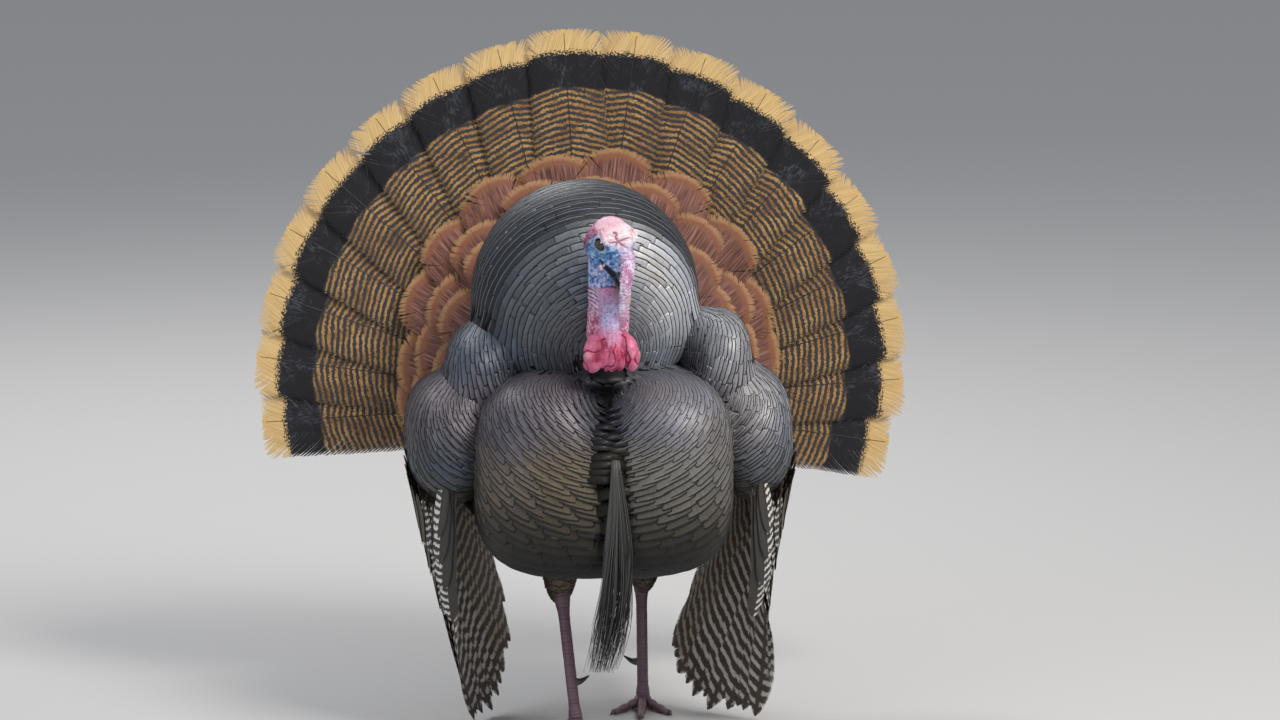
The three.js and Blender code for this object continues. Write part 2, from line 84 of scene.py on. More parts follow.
AHEAD = unit([30.0, -28.0, -66.0])
UP = unit(np.array([0.0, 0.0, 1.0]) - AHEAD * AHEAD[2])
LEFT = np.cross(UP, AHEAD)


def on_head(ahead, left, up):
    """Place in the head's frame: ahead to the bill, left, and up over the crown, each a number or array."""
    ahead, left, up = (np.asarray(a, float)[..., None] for a in (ahead, left, up))
    return HEAD_CENTRE + ahead * AHEAD + left * LEFT + up * UP


EYE_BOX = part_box("eye_right")
SHIFT = (np.array(EYE_BOX[0]) + np.array(EYE_BOX[1])) / 2 / MM - on_head(
    EYE_PLACE[0], -EYE_PLACE[1], EYE_PLACE[2]
)


def to_frame(points):
    """Millimetres in the bird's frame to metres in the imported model's frame."""
    return (np.asarray(points, float) + SHIFT) * MM


# ---- Numbers ----


def smooth(x, low, high):
    """0 below low, 1 above high, and an S-shaped rise between."""
    t = np.clip((np.asarray(x, float) - low) / (high - low), 0, 1)
    return t * t * (3 - 2 * t)


def mix(a, b, t):
    """a at t = 0 and b at t = 1."""
    return a + (b - a) * t


def bell(x, width):
    """1 where x is 0, and falling away on both sides of it."""
    return np.exp(-((x / width) ** 2))


def wave(x, period):
    """Sine of x with that period."""
    return np.sin(2 * np.pi * x / period)


def hashed(cells, seed):
    """A fixed number from 0 to 1 for each whole-number cell, from a sine of a weighted sum."""
    mixed = cells @ np.array([127.1, 311.7, 74.7]) + seed * 19.19
    return np.modf(np.abs(np.sin(mixed) * 43758.5453))[0]


def noise(points, size, seed=0):
    """Smooth noise from -1 to 1: hashed values at the corners of cubes of that size, blended across them."""
    p = np.asarray(points, float) / size
    base = np.floor(p)
    f = p - base
    f = f * f * (3 - 2 * f)
    total = 0.0
    for corner in np.ndindex(2, 2, 2):
        c = np.array(corner)
        weight = np.prod(np.where(c == 1, f, 1 - f), axis=-1)
        total = total + weight * hashed(base + c, seed)
    return total * 2 - 1


def warts(points, size, seed=0):
    """Distance to the nearest of a scatter of centres, one a cube, as a share of the cube's side."""
    p = np.asarray(points, float) / size
    base = np.floor(p)
    nearest = np.full(p.shape[:-1], 9.0)
    for corner in np.ndindex(3, 3, 3):
        cell = base + np.array(corner) - 1
        jitter = np.stack([hashed(cell, seed + k) for k in (1, 2, 3)], -1)
        nearest = np.minimum(nearest, np.linalg.norm(cell + jitter - p, axis=-1))
    return nearest


def curve_points(knots, t):
    """Smooth curve through the knots (uniform Catmull-Rom), at t from 0 to 1."""
    knots = np.asarray(knots, float)
    padded = np.vstack([2 * knots[0] - knots[1], knots, 2 * knots[-1] - knots[-2]])
    x = np.clip(np.asarray(t, float), 0, 1) * (len(knots) - 1)
    i = np.minimum(x.astype(int), len(knots) - 2)
    f = (x - i)[..., None]
    a, b, c, d = (padded[i + k] for k in range(4))
    return 0.5 * (2 * b + (c - a) * f + (2 * a - 5 * b + 4 * c - d) * f**2 + (3 * b - a - 3 * c + d) * f**3)


def run_along(path):
    """Length of a path up to each of its points."""
    return np.concatenate([[0], np.cumsum(np.linalg.norm(np.diff(path, axis=0), axis=1))])


# ---- Lobes of the body ----


class Lobe:
    """Rounded body: centre + radii * v * push(v) for each unit vector v. Power 2 is an egg, more is squarer."""

    def __init__(self, centre, radii, power=2.0, cleft=None):
        self.centre = np.array(centre, float)
        self.radii = np.array(radii, float)
        self.power = power
        self.cleft = cleft

    def push(self, v):
        """Length of the ray in direction v, as a share of the radii, with the cleft's groove taken off."""
        out = (np.abs(v) ** self.power).sum(-1) ** (-1 / self.power)
        if self.cleft:
            deep = self.cleft["depth"] * smooth(v[..., 2], self.cleft["lowest"], self.cleft["highest"])
            groove = deep * bell(v[..., 0], self.cleft["width"])
            out = out * (1 - np.where(v[..., 1] < 0, groove, 0))
        return out

    def at(self, v):
        """Point of the surface in direction v."""
        return self.centre + self.radii * v * self.push(v)[..., None]

    def direction(self, points):
        """Unit vector v whose ray passes through each point."""
        return unit((points - self.centre) / self.radii)

    def depth(self, points):
        """How far out each point is: below 1 inside, 1 on the surface, above 1 outside."""
        local = (points - self.centre) / self.radii
        size = np.linalg.norm(local, axis=-1)
        return size / self.push(unit(local))

    def normal(self, v):
        """Outward normal, from the cross product of two small steps over the surface."""
        helper = np.where(np.abs(v[..., 2:3]) < 0.9, [0.0, 0.0, 1.0], [1.0, 0.0, 0.0])
        a = unit(np.cross(v, helper))
        b = np.cross(v, a)
        step = 0.01
        da = self.at(unit(v + a * step)) - self.at(unit(v - a * step))
        db = self.at(unit(v + b * step)) - self.at(unit(v - b * step))
        n = unit(np.cross(da, db))
        flip = np.sign((n * (self.at(v) - self.centre)).sum(-1, keepdims=True))
        return n * flip


LOBES = {
    "breast": Lobe(
        [0, -112, 317], [153, 146, 123], 3.5, {"depth": 0.15, "width": 0.15, "lowest": -0.95, "highest": 0.3}
    ),
    "mantle": Lobe([-15, -36, 509], [135, 140, 140]),
    "scapulars_right": Lobe([-136, -52, 428], [44, 92, 52], 2.5),
    "scapulars_left": Lobe([139, -48, 440], [42, 92, 54], 2.5),
    "shoulder_right": Lobe([-172, -38, 350], [58, 128, 69], 2.5),
    "shoulder_left": Lobe([174, -32, 352], [56, 128, 73], 2.5),
    "wrist_right": Lobe([-177, -104, 322], [30, 42, 46]),
    "wrist_left": Lobe([179, -102, 326], [29, 42, 45]),
    "collar": Lobe([4, -154, 431], [36, 42, 16]),
    "trunk": Lobe([0, 22, 322], [180, 172, 142]),
    "rump": Lobe([-4, 62, 480], [112, 96, 128]),
    "vent": Lobe([0, 168, 268], [94, 54, 80]),
    "thigh_right": Lobe([-46, -48, 202], [24, 28, 62]),
    "thigh_left": Lobe([58, 16, 202], [24, 28, 62]),
}


# How far in millimetres each lobe melts into its neighbours: the lesser of two counts between them.
MELT = {
    "breast": 9, "mantle": 26, "scapulars_right": 34, "scapulars_left": 34, "shoulder_right": 38,
    "shoulder_left": 38, "wrist_right": 38, "wrist_left": 38, "collar": 16, "trunk": 30, "rump": 30, "vent": 20,
    "thigh_right": 24, "thigh_left": 24,
}


def melt(name, points):
    """How far the surface of a lobe is raised near the others, as a smooth union of distances would be."""
    raised = np.zeros(points.shape[:-1])
    for other, lobe in LOBES.items():
        if other == name:
            continue
        wide = min(MELT[name], MELT[other])
        away = np.linalg.norm(points - lobe.centre, axis=-1) * (1 - 1 / np.maximum(lobe.depth(points), 0.2))
        share = np.maximum(wide - np.abs(away), 0) / wide
        raised = np.maximum(raised, share**2 * wide / 4)
    return raised


# ---- Meshes ----


def outward(points, corners, sizes):
    """The faces of a closed shape, turned over if its volume, summed over their triangles, is negative."""
    starts = np.cumsum(sizes) - sizes
    first = np.repeat(starts, sizes)
    place = np.arange(len(corners))
    fan = (place > first) & (place < first + np.repeat(sizes, sizes) - 1)
    a, b, c = points[corners[first[fan]]], points[corners[place[fan]]], points[corners[place[fan] + 1]]
    middle = points.mean(0)
    if (np.cross(a - middle, b - middle) * (c - middle)).sum() < 0:
        corners = corners[np.repeat(starts + sizes - 1, sizes) - (place - first)]
    return corners, sizes


def linked(name, data):
    """New object of that data, in the scene."""
    made = bpy.data.objects.new(name, data)
    bpy.context.collection.objects.link(made)
    return made


def new_object(name, points, faces, materials, bake=None, slots=None, **attributes):
    """Mesh object from points in millimetres and faces as (corner numbers in one row, corners in each face).

    bake and the attributes hold a row a point. An attribute of one number a point fills all its three parts.
    slots is each face's material: the faces in slot 0 are then flat and the rest smooth.
    """
    corners, sizes = faces
    mesh = bpy.data.meshes.new(name)
    mesh.vertices.add(len(points))
    mesh.vertices.foreach_set("co", to_frame(points).astype(np.float32).ravel())
    mesh.loops.add(len(corners))
    mesh.loops.foreach_set("vertex_index", corners.astype(np.int32))
    mesh.polygons.add(len(sizes))
    mesh.polygons.foreach_set("loop_start", (np.cumsum(sizes) - sizes).astype(np.int32))
    mesh.polygons.foreach_set("use_smooth", np.ones(len(sizes), bool) if slots is None else slots > 0)
    for material in materials:
        mesh.materials.append(material)
    if slots is not None:
        mesh.polygons.foreach_set("material_index", slots.astype(np.int32))
    mesh.update(calc_edges=True)
    if bake is not None:
        layer = mesh.uv_layers.new(name="OFBake")
        layer.uv.foreach_set("vector", bake.astype(np.float32)[corners].ravel())
    for label, values in attributes.items():
        rows = values if values.ndim == 2 else np.repeat(values[:, None], 3, axis=1)
        layer = mesh.attributes.new(label, "FLOAT_VECTOR", "POINT")
        layer.data.foreach_set("vector", rows.astype(np.float32).ravel())
    return linked(name, mesh)


def finish_piece(piece, slot, *nodes):
    """The piece rides on the body and stands for those CAD nodes, which are hidden; slot is not used."""
    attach(piece, BODY)
    if nodes:
        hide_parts(*nodes)
    return piece


def grid_faces(rows, columns, wrap=False):
    """Quads of a grid of rows x columns points, whose columns close into a ring if wrap is set."""
    across = columns if wrap else columns - 1
    r, c = np.meshgrid(np.arange(rows - 1), np.arange(across), indexing="ij")
    a = r * columns + c
    b = r * columns + (c + 1) % columns
    return np.stack([a, b, b + columns, a + columns], -1).reshape(-1, 4)


def closed_rings(rings):
    """Closed skin over rings of points, rings x sides x 3, with a point in the middle of each end."""
    count, sides = rings.shape[:2]
    points = np.vstack([rings.reshape(-1, 3), rings[0].mean(0)[None], rings[-1].mean(0)[None]])
    quads = grid_faces(count, sides, wrap=True)
    i = np.arange(sides)
    j = (i + 1) % sides
    last = (count - 1) * sides
    first_end = np.stack([j, i, np.full(sides, count * sides)], -1)
    last_end = np.stack([i + last, j + last, np.full(sides, count * sides + 1)], -1)
    corners = np.concatenate([quads.ravel(), first_end.ravel(), last_end.ravel()])
    sizes = np.concatenate([np.full(len(quads), 4), np.full(2 * sides, 3)])
    return points, outward(points, corners, sizes)


def tube(path, half_widths, half_depths, across, sides=16):
    """Closed limb: an ellipse of those half sizes carried along the path, square to it."""
    path = np.asarray(path, float)
    ahead = unit(np.gradient(path, axis=0))
    side = unit(across - ahead * (ahead @ np.asarray(across, float))[:, None])
    depth = np.cross(ahead, side)
    turn = np.linspace(0, 2 * np.pi, sides, endpoint=False)
    wide = np.broadcast_to(half_widths, len(path))[:, None, None]
    deep = np.broadcast_to(half_depths, len(path))[:, None, None]
    rings = path[:, None] + side[:, None] * np.cos(turn)[:, None] * wide
    return closed_rings(rings + depth[:, None] * np.sin(turn)[:, None] * deep)


def ball_grid(rings, around):
    """Angle from the pole, and angle about it, at each point of a grid over a ball."""
    theta = np.linspace(0.02, np.pi - 0.02, rings)
    return np.meshgrid(theta, np.linspace(0, 2 * np.pi, around, endpoint=False), indexing="ij")


def lobe_mesh(lobe, inset=0.0, around=48, rings=30):
    """Closed grid over a lobe, drawn in along its normals by inset."""
    t, f = ball_grid(rings, around)
    v = np.stack([np.sin(t) * np.cos(f), np.sin(t) * np.sin(f), np.cos(t)], -1)
    return closed_rings(lobe.at(v) - lobe.normal(v) * inset)


def joined(parts):
    """Shapes as one. Each is its points, its faces, and any further rows of values, which are joined too."""
    points, faces, *values = zip(*parts)
    offsets = np.cumsum([0, *(len(p) for p in points[:-1])])
    corners = np.concatenate([c + offset for (c, _), offset in zip(faces, offsets)])
    sizes = np.concatenate([n for _, n in faces])
    return (np.vstack(points), (corners, sizes), *(np.concatenate(rows) for rows in values))


# ---- Finishes ----


class Wire:
    """An output socket with arithmetic: each operator adds the Math node that it names."""

    def __init__(self, finish, socket):
        self.finish = finish
        self.socket = socket

    def math(self, operation, *others, first=None):
        inputs = {i: value for i, value in enumerate((first if first is not None else self, *others))}
        return self.finish.node("ShaderNodeMath", {"operation": operation}, inputs)

    def __add__(self, other):
        return self.math("ADD", other)

    __radd__ = __add__

    def __sub__(self, other):
        return self.math("SUBTRACT", other)

    def __rsub__(self, other):
        return self.math("SUBTRACT", self, first=other)

    def __mul__(self, other):
        return self.math("MULTIPLY", other)

    __rmul__ = __mul__

    def abs(self):
        return self.math("ABSOLUTE")

    def sin(self):
        return self.math("SINE")

    def rise(self, low, high):
        """0 below low, 1 above high, and an S-shaped rise between."""
        settings = {"interpolation_type": "SMOOTHSTEP"}
        return self.finish.node("ShaderNodeMapRange", settings, {"Value": self, "From Min": low, "From Max": high})


class Finish:
    """A material: constants set on its Principled shader, and nodes for what varies."""

    def __init__(self, name, **constants):
        self.material = bpy.data.materials.new(name)
        self.material.use_nodes = True
        self.tree = self.material.node_tree
        self.tree.nodes.clear()
        self.shader = self.tree.nodes.new("ShaderNodeBsdfPrincipled")
        output = self.tree.nodes.new("ShaderNodeOutputMaterial")
        self.tree.links.new(self.shader.outputs["BSDF"], output.inputs["Surface"])
        for socket, value in constants.items():
            self.shader.inputs[socket.replace("_", " ")].default_value = value

    def feed(self, socket, value):
        if isinstance(value, Wire):
            self.tree.links.new(value.socket, socket)
        else:
            if isinstance(value, tuple) and len(value) == 3 and socket.type == "RGBA":
                value = (*value, 1.0)
            socket.default_value = value

    def node(self, kind, settings=None, inputs=None, output=0):
        """A node of that type, its settings made first, then its sockets' values or links."""
        made = self.tree.nodes.new(kind)
        for key, value in (settings or {}).items():
            if key == "stops":
                while len(made.color_ramp.elements) < len(value):
                    made.color_ramp.elements.new(1.0)
                for element, (place, colour) in zip(made.color_ramp.elements, value):
                    element.position = place
                    element.color = (*colour, 1.0)
            else:
                setattr(made, key, value)
        for key, value in (inputs or {}).items():
            self.feed(made.inputs[key], value)
        return Wire(self, made.outputs[output])

    def attribute(self, name):
        return self.node("ShaderNodeAttribute", {"attribute_name": name}, output="Vector")

    def parts(self, vector):
        return [self.node("ShaderNodeSeparateXYZ", None, {0: vector}, k) for k in range(3)]

    def place(self):
        return self.node("ShaderNodeTexCoord", output="Object")

    def vector(self, x, y, z):
        return self.node("ShaderNodeCombineXYZ", None, {0: x, 1: y, 2: z})

    def noise(self, vector, scale, detail=2.0, roughness=0.5):
        inputs = {"Vector": vector, "Scale": scale, "Detail": detail, "Roughness": roughness}
        return self.node("ShaderNodeTexNoise", None, inputs)

    def grain(self, vane, scales, detail, roughness=0.5):
        """Noise over a vane, at its own scale across it, along it and from feather to feather."""
        stretched = self.vector(*(part * scale for part, scale in zip(vane, scales)))
        return self.noise(stretched, 1.0, detail, roughness)

    def ramp(self, value, stops):
        return self.node("ShaderNodeValToRGB", {"stops": stops}, {0: value})

    def blend(self, factor, a, b, way="MIX"):
        """Colour a where factor is 0 and b where it is 1, or a blended with b in another way."""
        settings = {"data_type": "RGBA", "blend_type": way}
        return self.node("ShaderNodeMix", settings, {0: factor, 6: a, 7: b}, 2)

    def bump(self, height, distance, strength=1.0):
        inputs = {"Height": height, "Distance": distance, "Strength": strength}
        self.set("Normal", self.node("ShaderNodeBump", None, inputs))

    def set(self, socket, value):
        self.feed(self.shader.inputs[socket], value)

    def done(self, colour, roughness=None):
        """The material, with those two fed to its shader."""
        self.set("Base Color", colour)
        if roughness is not None:
            self.set("Roughness", roughness)
        return self.material


def body_feather_finish():
    """Iridescent vanes: their own tint, fine streaks along the barbs, a painted sheen before the tip, a painted
    blue-grey highlight line on dark cold tints, and a black edge across the tip.
    """
    f = Finish("body_feathers", Specular_IOR_Level=0.6)
    along, across, tone = f.parts(f.attribute("vane"))
    tint = f.attribute("tint")
    red, green, blue = f.parts(tint)
    streaks = f.noise(f.vector(across * 7.0 + tone * 91.0, along * 1.4, tone * 57.0), 1.0, 3.0, 0.65)
    bright = 0.60 + streaks * 0.80
    lit = f.blend(1.0, tint, f.vector(bright, bright, bright), "MULTIPLY")
    warped = along + (f.noise(f.place(), 300.0, 2.0) - 0.5) * 0.035
    cold = (blue - red).rise(0.003, 0.007)
    edge = (warped + 0.055 - green.rise(0.02, 0.12) * 0.045).rise(0.915, 0.945)
    # Painted sheen: the vane is lightened in a band just before its black edge.
    painted_sheen = warped.rise(0.78, 0.90) * (1 - edge)
    lit = f.blend(painted_sheen * 0.45, lit, f.blend(1.0, lit, (1.6, 1.55, 1.4), "MULTIPLY"))
    # Painted highlight: a pale blue-grey line before the black edge of dark, cold feathers.
    rim = warped.rise(0.82, 0.88) * (1 - edge) * (1 - green.rise(0.018, 0.05)) * cold
    lit = f.blend(rim * 0.8, lit, (0.34, 0.39, 0.48))
    f.set("Metallic", 0.32 - edge * 0.32)
    f.bump(streaks, 0.00025, 0.5)
    return f.done(f.blend(edge, lit, (0.004, 0.004, 0.005)), 0.42 + edge * 0.15 + streaks * 0.18)


def shaft_finish(name, colour):
    """Smooth horn of a feather's shaft."""
    f = Finish(name, Roughness=0.35, Specular_IOR_Level=0.5)
    return f.done(f.blend(f.noise(f.place(), 60.0), colour, tuple(c * 0.55 for c in colour)))


def tail_feather_finish():
    """Tan tip, black band with patches of painted blue-grey gloss, then beaded chestnut and black bars that break up
    and lean towards the tip.
    """
    f = Finish("tail_feathers", Specular_IOR_Level=0.35, Sheen_Weight=0.1)
    across, back, feather = vane = f.parts(f.attribute("vane"))
    fine = f.grain(vane, (26.0, 0.16, 7.3), 4.0, 0.6)
    beads = f.grain(vane, (20.0, 0.62, 3.3), 2.0, 0.6)
    broad = f.grain(vane, (2.2, 0.045, 5.1), 3.0)
    waver = back + (fine - 0.5) * 2.5 + (broad - 0.5) * 7.0
    streaks = f.noise(f.vector(across * 60.0 + back * 0.5, back * 0.02, feather * 3.0), 1.0, 2.0)
    tan = f.ramp(streaks, [(0.25, (0.46, 0.28, 0.105)), (0.5, (0.69, 0.46, 0.19)), (0.8, (0.84, 0.64, 0.32))])
    bars = ((waver - across.abs() * 8.0) * (2 * math.pi / 7.4)).sin()
    broken = bars + (beads - 0.5) * 4.6
    worn = across.abs().rise(0.55, 1.0)
    gold = f.ramp(broad + (beads - 0.5) * 0.5, [
        (0.3, (0.20, 0.088, 0.028)), (0.5, (0.38, 0.20, 0.062)), (0.72, (0.54, 0.33, 0.12))])
    gold = f.blend(worn * 0.45, gold, (0.16, 0.115, 0.045))
    slate = f.ramp(streaks, [(0.3, (0.022, 0.021, 0.025)), (0.8, (0.066, 0.062, 0.064))])
    barred = f.blend(broken.rise(-0.05, 0.6), slate, gold)
    # Painted gloss: blue-grey patches on the black band, strongest near the shaft.
    painted_gloss = (fine * 0.6 + broad * 0.5).rise(0.56, 0.70) * (1 - across.abs().rise(0.1, 0.7)) * 0.6
    black = f.blend(painted_gloss, (0.010, 0.010, 0.013), (0.085, 0.092, 0.115))
    inner = f.blend(waver.rise(70.0, 74.0), black, barred)
    speckle = waver + (beads - 0.5) * 34.0 * (1 - (waver - 28.0).abs().rise(2.0, 8.0))
    gloss_band = waver.rise(26.0, 32.0) * (1 - waver.rise(68.0, 74.0))
    return f.done(f.blend(speckle.rise(26.0, 29.0), tan, inner), 0.62 - gloss_band * 0.22)


def covert_finish():
    """Mauve chestnut with streaks along the barbs, a rustier band, and a pale, hair-like fringe."""
    f = Finish("tail_coverts", Specular_IOR_Level=0.3, Sheen_Weight=0.15)
    across, back, feather = f.parts(f.attribute("vane"))
    streaks = f.noise(f.vector(across * 26.0 + feather * 3.7, back * 0.03, feather * 4.3), 1.0, 3.0)
    broad = f.noise(f.place(), 16.0, 2.0)
    rust = f.ramp(streaks * 0.75 + broad * 0.25, [
        (0.34, (0.050, 0.018, 0.014)), (0.5, (0.20, 0.082, 0.060)), (0.70, (0.40, 0.200, 0.155))])
    fringe = f.blend(streaks, (0.30, 0.135, 0.055), (0.56, 0.33, 0.17))
    waver = back + (streaks - 0.5) * 6.0
    band = f.blend(waver.rise(9.0, 18.0), (0.27, 0.105, 0.055), rust)
    return f.done(f.blend(waver.rise(3.0, 9.0), fringe, band), 0.5 + streaks * 0.2)


def flight_feather_finish(name, dark, pale, period, pale_share, broken):
    """Dark vane crossed by pale bars of that period in millimetres, ragged where broken is high."""
    f = Finish(name, Specular_IOR_Level=0.35)
    across, back, feather = vane = f.parts(f.attribute("vane"))
    fine = f.grain(vane, (9.0, 0.22, 6.1), 3.0)
    wide = f.grain(vane, (1.5, 0.05, 3.3), 2.0)
    slant = back + feather * 1.3 + across * 4.0 + (fine - 0.5) * broken + (wide - 0.5) * 6.0
    bars = (slant * (2 * math.pi / period)).sin() - (1 - 2 * pale_share)
    streaks = f.grain(vane, (34.0, 0.03, 2.9), 2.0)
    base = f.blend(streaks, dark, tuple(c * 2.0 + 0.012 for c in dark))
    clear = (across.abs() + (fine - 0.5) * 0.25).rise(0.08, 0.24)
    mask = bars.rise(-0.12, 0.3) * (1 - back.rise(300.0, 360.0)) * clear
    bar = f.blend(streaks, pale, tuple(c * 0.7 for c in pale))
    return f.done(f.blend(mask, base, bar), 0.45 + streaks * 0.2)


def alula_finish():
    """Dark towards the bird's middle, and outwards crossed by narrow broken white bars."""
    f = Finish("alula", Specular_IOR_Level=0.45)
    across, back, _ = vane = f.parts(f.attribute("vane"))
    outer = across * f.parts(f.place())[0].math("SIGN") * -1.0
    fine = f.grain(vane, (5.0, 0.30, 6.1), 2.0)
    bars = ((back + across * 3.0 + (fine - 0.5) * 7.0) * (2 * math.pi / 9.0)).sin()
    mask = bars.rise(0.05, 0.4) * outer.rise(-0.05, 0.15)
    streaks = f.grain(vane, (30.0, 0.03, 2.9), 2.0)
    dark = f.blend(streaks, (0.022, 0.020, 0.020), (0.075, 0.068, 0.060))
    return f.done(f.blend(mask, dark, (0.68, 0.66, 0.62)), 0.4 + streaks * 0.15)


def plain_covert_finish():
    """Olive-bronze vanes with a narrow dusky edge and a faint gloss."""
    f = Finish("plain_coverts", Specular_IOR_Level=0.5, Metallic=0.25)
    across, back, _ = vane = f.parts(f.attribute("vane"))
    streaks = f.grain(vane, (18.0, 0.03, 2.9), 3.0)
    tone = f.ramp(streaks, [(0.25, (0.035, 0.029, 0.017)), (0.5, (0.075, 0.063, 0.036)), (0.8, (0.14, 0.12, 0.075))])
    edge = across.abs().rise(0.80, 0.94) + (1 - back.rise(2.0, 3.5))
    return f.done(f.blend(edge, tone, (0.008, 0.007, 0.006)), 0.4 + streaks * 0.15)


# ---- Feathers that lie over the body ----

FEATHER_ALONG = np.array([0.0, 0.40, 0.66, 0.84, 0.95, 1.0])
FEATHER_ACROSS = np.array([-1.0, -0.84, -0.56, -0.28, 0.0, 0.28, 0.56, 0.84, 1.0])
PATCH = 0.003  # side of a feather's patch on the bake's map
SINK = 0.42  # how far a root is let in, as a share of the step between rows
OVERLAP = 2.75  # length of a feather, in steps between rows
REACH = 2.95  # angle from the pole at which the rows end


def feather_faces():
    """Faces of one closed feather: a grid above, and one strip below that shares the grid's rim."""
    rows, columns = len(FEATHER_ALONG), len(FEATHER_ACROSS)
    faces = grid_faces(rows, columns).tolist()
    left = lambda r: r * columns
    right = lambda r: r * columns + columns - 1
    for r in range(1, rows - 2):
        faces.append([left(r), left(r + 1), right(r + 1), right(r)])
    faces.append([*range(right(0), left(0) - 1, -1), left(1), right(1)])
    faces.append([right(rows - 2), left(rows - 2), *range(left(rows - 1), right(rows - 1) + 1)])
    return np.concatenate(faces), np.array([len(f) for f in faces])


def feather_rows(lobe, pole, pitches, widths, growth, ragged, random):
    """Roots of feathers in rings about a pole: unit vectors, each feather's pitch and width, and its map place.

    pitches and widths are the first and last, in millimetres, and growth is how soon the last is reached.
    A ring's roots stand evenly along its length, half a step aside from those of the ring before.
    """
    pole = unit(pole)
    e1 = unit(np.cross(pole, [0.31, 0.22, 0.92]))
    e2 = np.cross(pole, e1)
    phi = np.linspace(0, 2 * np.pi, 241)
    ring = np.cos(phi)[:, None] * e1 + np.sin(phi)[:, None] * e2
    rows = []
    theta = 0.02
    while theta < REACH:
        row, grown = len(rows), theta / REACH * growth
        pitch = mix(*pitches, min(1.0, grown) ** 1.6)
        width = mix(*widths, min(1.0, grown * 1.8))
        v = np.cos(theta) * pole + np.sin(theta) * ring
        points = lobe.at(v)
        further = lobe.at(np.cos(theta + 0.01) * pole + np.sin(theta + 0.01) * ring)
        speed = np.linalg.norm(further - points, axis=1).mean() / 0.01
        length = run_along(points)
        count = max(3, round(length[-1] / width))
        place = (np.arange(count) + 0.5 * (row % 2) + random.normal(0, 0.07, count) * ragged) % count
        angle = np.interp(place / count * length[-1], length, phi)
        sway = 0.22 * np.sin(angle * 3 + row * 0.7) + 0.16 * np.sin(angle * 7 - row * 0.31)
        tilt = theta + (sway + random.normal(0, 0.05, count)) * ragged * pitch / speed
        v = np.cos(tilt)[:, None] * pole
        v = v + np.sin(tilt)[:, None] * (np.cos(angle)[:, None] * e1 + np.sin(angle)[:, None] * e2)
        chart = np.stack([angle / (2 * np.pi), np.full(count, theta / np.pi)], -1)
        rows.append((v, np.full(count, pitch), np.full(count, length[-1] / count), chart))
        theta += pitch / speed
    return [np.concatenate(column) for column in zip(*rows)]


def body_feathers(name, pole, pitches, widths, growth, ragged, tint, seed):
    """Small feathers over a lobe, lying away from the pole: points, faces, bake map, vane values and tints.

    A feather's own grid is bent over the lobe: each point is moved along and across from the root, then
    put back on the surface, raised where the lobes melt together, and let in by SINK times the row's
    step at the root and none at the tip.
    """
    lobe = LOBES[name]
    random = np.random.default_rng(seed)
    v, step, wide, chart = feather_rows(lobe, pole, pitches, widths, growth, ragged, random)
    root = lobe.at(v)
    chosen = kept_roots(name, root)
    v, step, wide, chart, root = (values[chosen] for values in (v, step, wide, chart, root))
    count = len(v)
    normal = lobe.normal(v)
    pole = unit(pole)
    downhill = unit(v * (v @ pole)[:, None] - pole)
    ahead = lobe.at(unit(v + downhill * 0.02)) - root
    ahead = unit(ahead - normal * (ahead * normal).sum(1, keepdims=True))
    across = np.cross(ahead, normal)
    turn = random.normal(0, 0.05 * ragged, count)[:, None]
    ahead, across = ahead * np.cos(turn) + across * np.sin(turn), across * np.cos(turn) - ahead * np.sin(turn)
    length = step * OVERLAP * (1 + random.normal(0, 0.03 * ragged, count))
    half = wide * 0.64
    lift = random.uniform(0, 0.06, count) * step + 0.10
    a = FEATHER_ALONG[:, None] + 0 * FEATHER_ACROSS[None]
    b = 0 * FEATHER_ALONG[:, None] + FEATHER_ACROSS[None]
    outline = (0.55 + 0.45 * np.sin(np.minimum(a / 0.5, 1) * np.pi / 2)) * (1 - 0.04 * smooth(a, 0.9, 1.02))
    shape = (count, *a.shape)
    worn = random.normal(0, 0.012 + 0.010 * ragged, (count, 1, len(FEATHER_ACROSS))) * smooth(a, 0.84, 1.0)
    bent = a + worn - 0.05 * np.abs(b) ** 6 * smooth(a, 0.5, 1.0)
    spread = lambda q: np.broadcast_to(np.asarray(q)[:, None, None], shape)
    moved = (
        root[:, None, None]
        + ahead[:, None, None] * (spread(length) * bent)[..., None]
        + across[:, None, None] * (spread(half) * outline * b)[..., None]
    )
    on = lobe.direction(moved)
    surface = lobe.at(on)
    sunk = spread(step) * SINK * (1 - a) ** 1.15 + spread(half) * 0.02 * b**2 + 0.05
    height = melt(name, surface) - sunk + spread(lift) * a**2 - 1.0
    under = -0.35 * (1 - np.abs(b))  # the lower strip shares the rim, so only the middle is thick
    points = surface + lobe.normal(on) * (height - under)[..., None]
    corners, sizes = outward(points[0].reshape(-1, 3), *feather_faces())
    corners = (corners[None] + (np.arange(count) * a.size)[:, None]).ravel()
    tone = random.random(count)
    vane = np.stack(np.broadcast_arrays(a[None], b[None], spread(tone)), -1).reshape(-1, 3)
    colours = np.repeat(tint(root, random), a.size, axis=0)
    bake = (chart[:, None, None] + PATCH * np.stack([b * 0.5, a], -1)[None]).reshape(-1, 2)
    return points.reshape(-1, 3), (corners, np.tile(sizes, count)), bake, vane, colours


# ---- Long feathers, barb by barb ----

BARB_STEPS = np.array([0.0, 0.3, 0.6, 0.85, 1.0])
DRAWN_SHARE = np.array([0.0, 0.0, 0.0, 0.3, 1.0])  # how far along a barb it is drawn into its bundle
SPLIT_SHARE = np.array([0.0, 0.02, 0.2, 0.6, 1.0])  # and pulled away from a split in the vane
BARB_TAPER = np.array([1.0, 1.0, 1.0, 0.97, 0.5])  # width of a barb
BARB_THICK = 0.35 * np.array([1.0, 1.0, 0.9, 0.7, 0.3])  # depth of its keel
SIDE_POINTS = 40  # points of an outline's side, and of its end
SHAFT_RINGS = 12
SHAFT_SIDES = 6


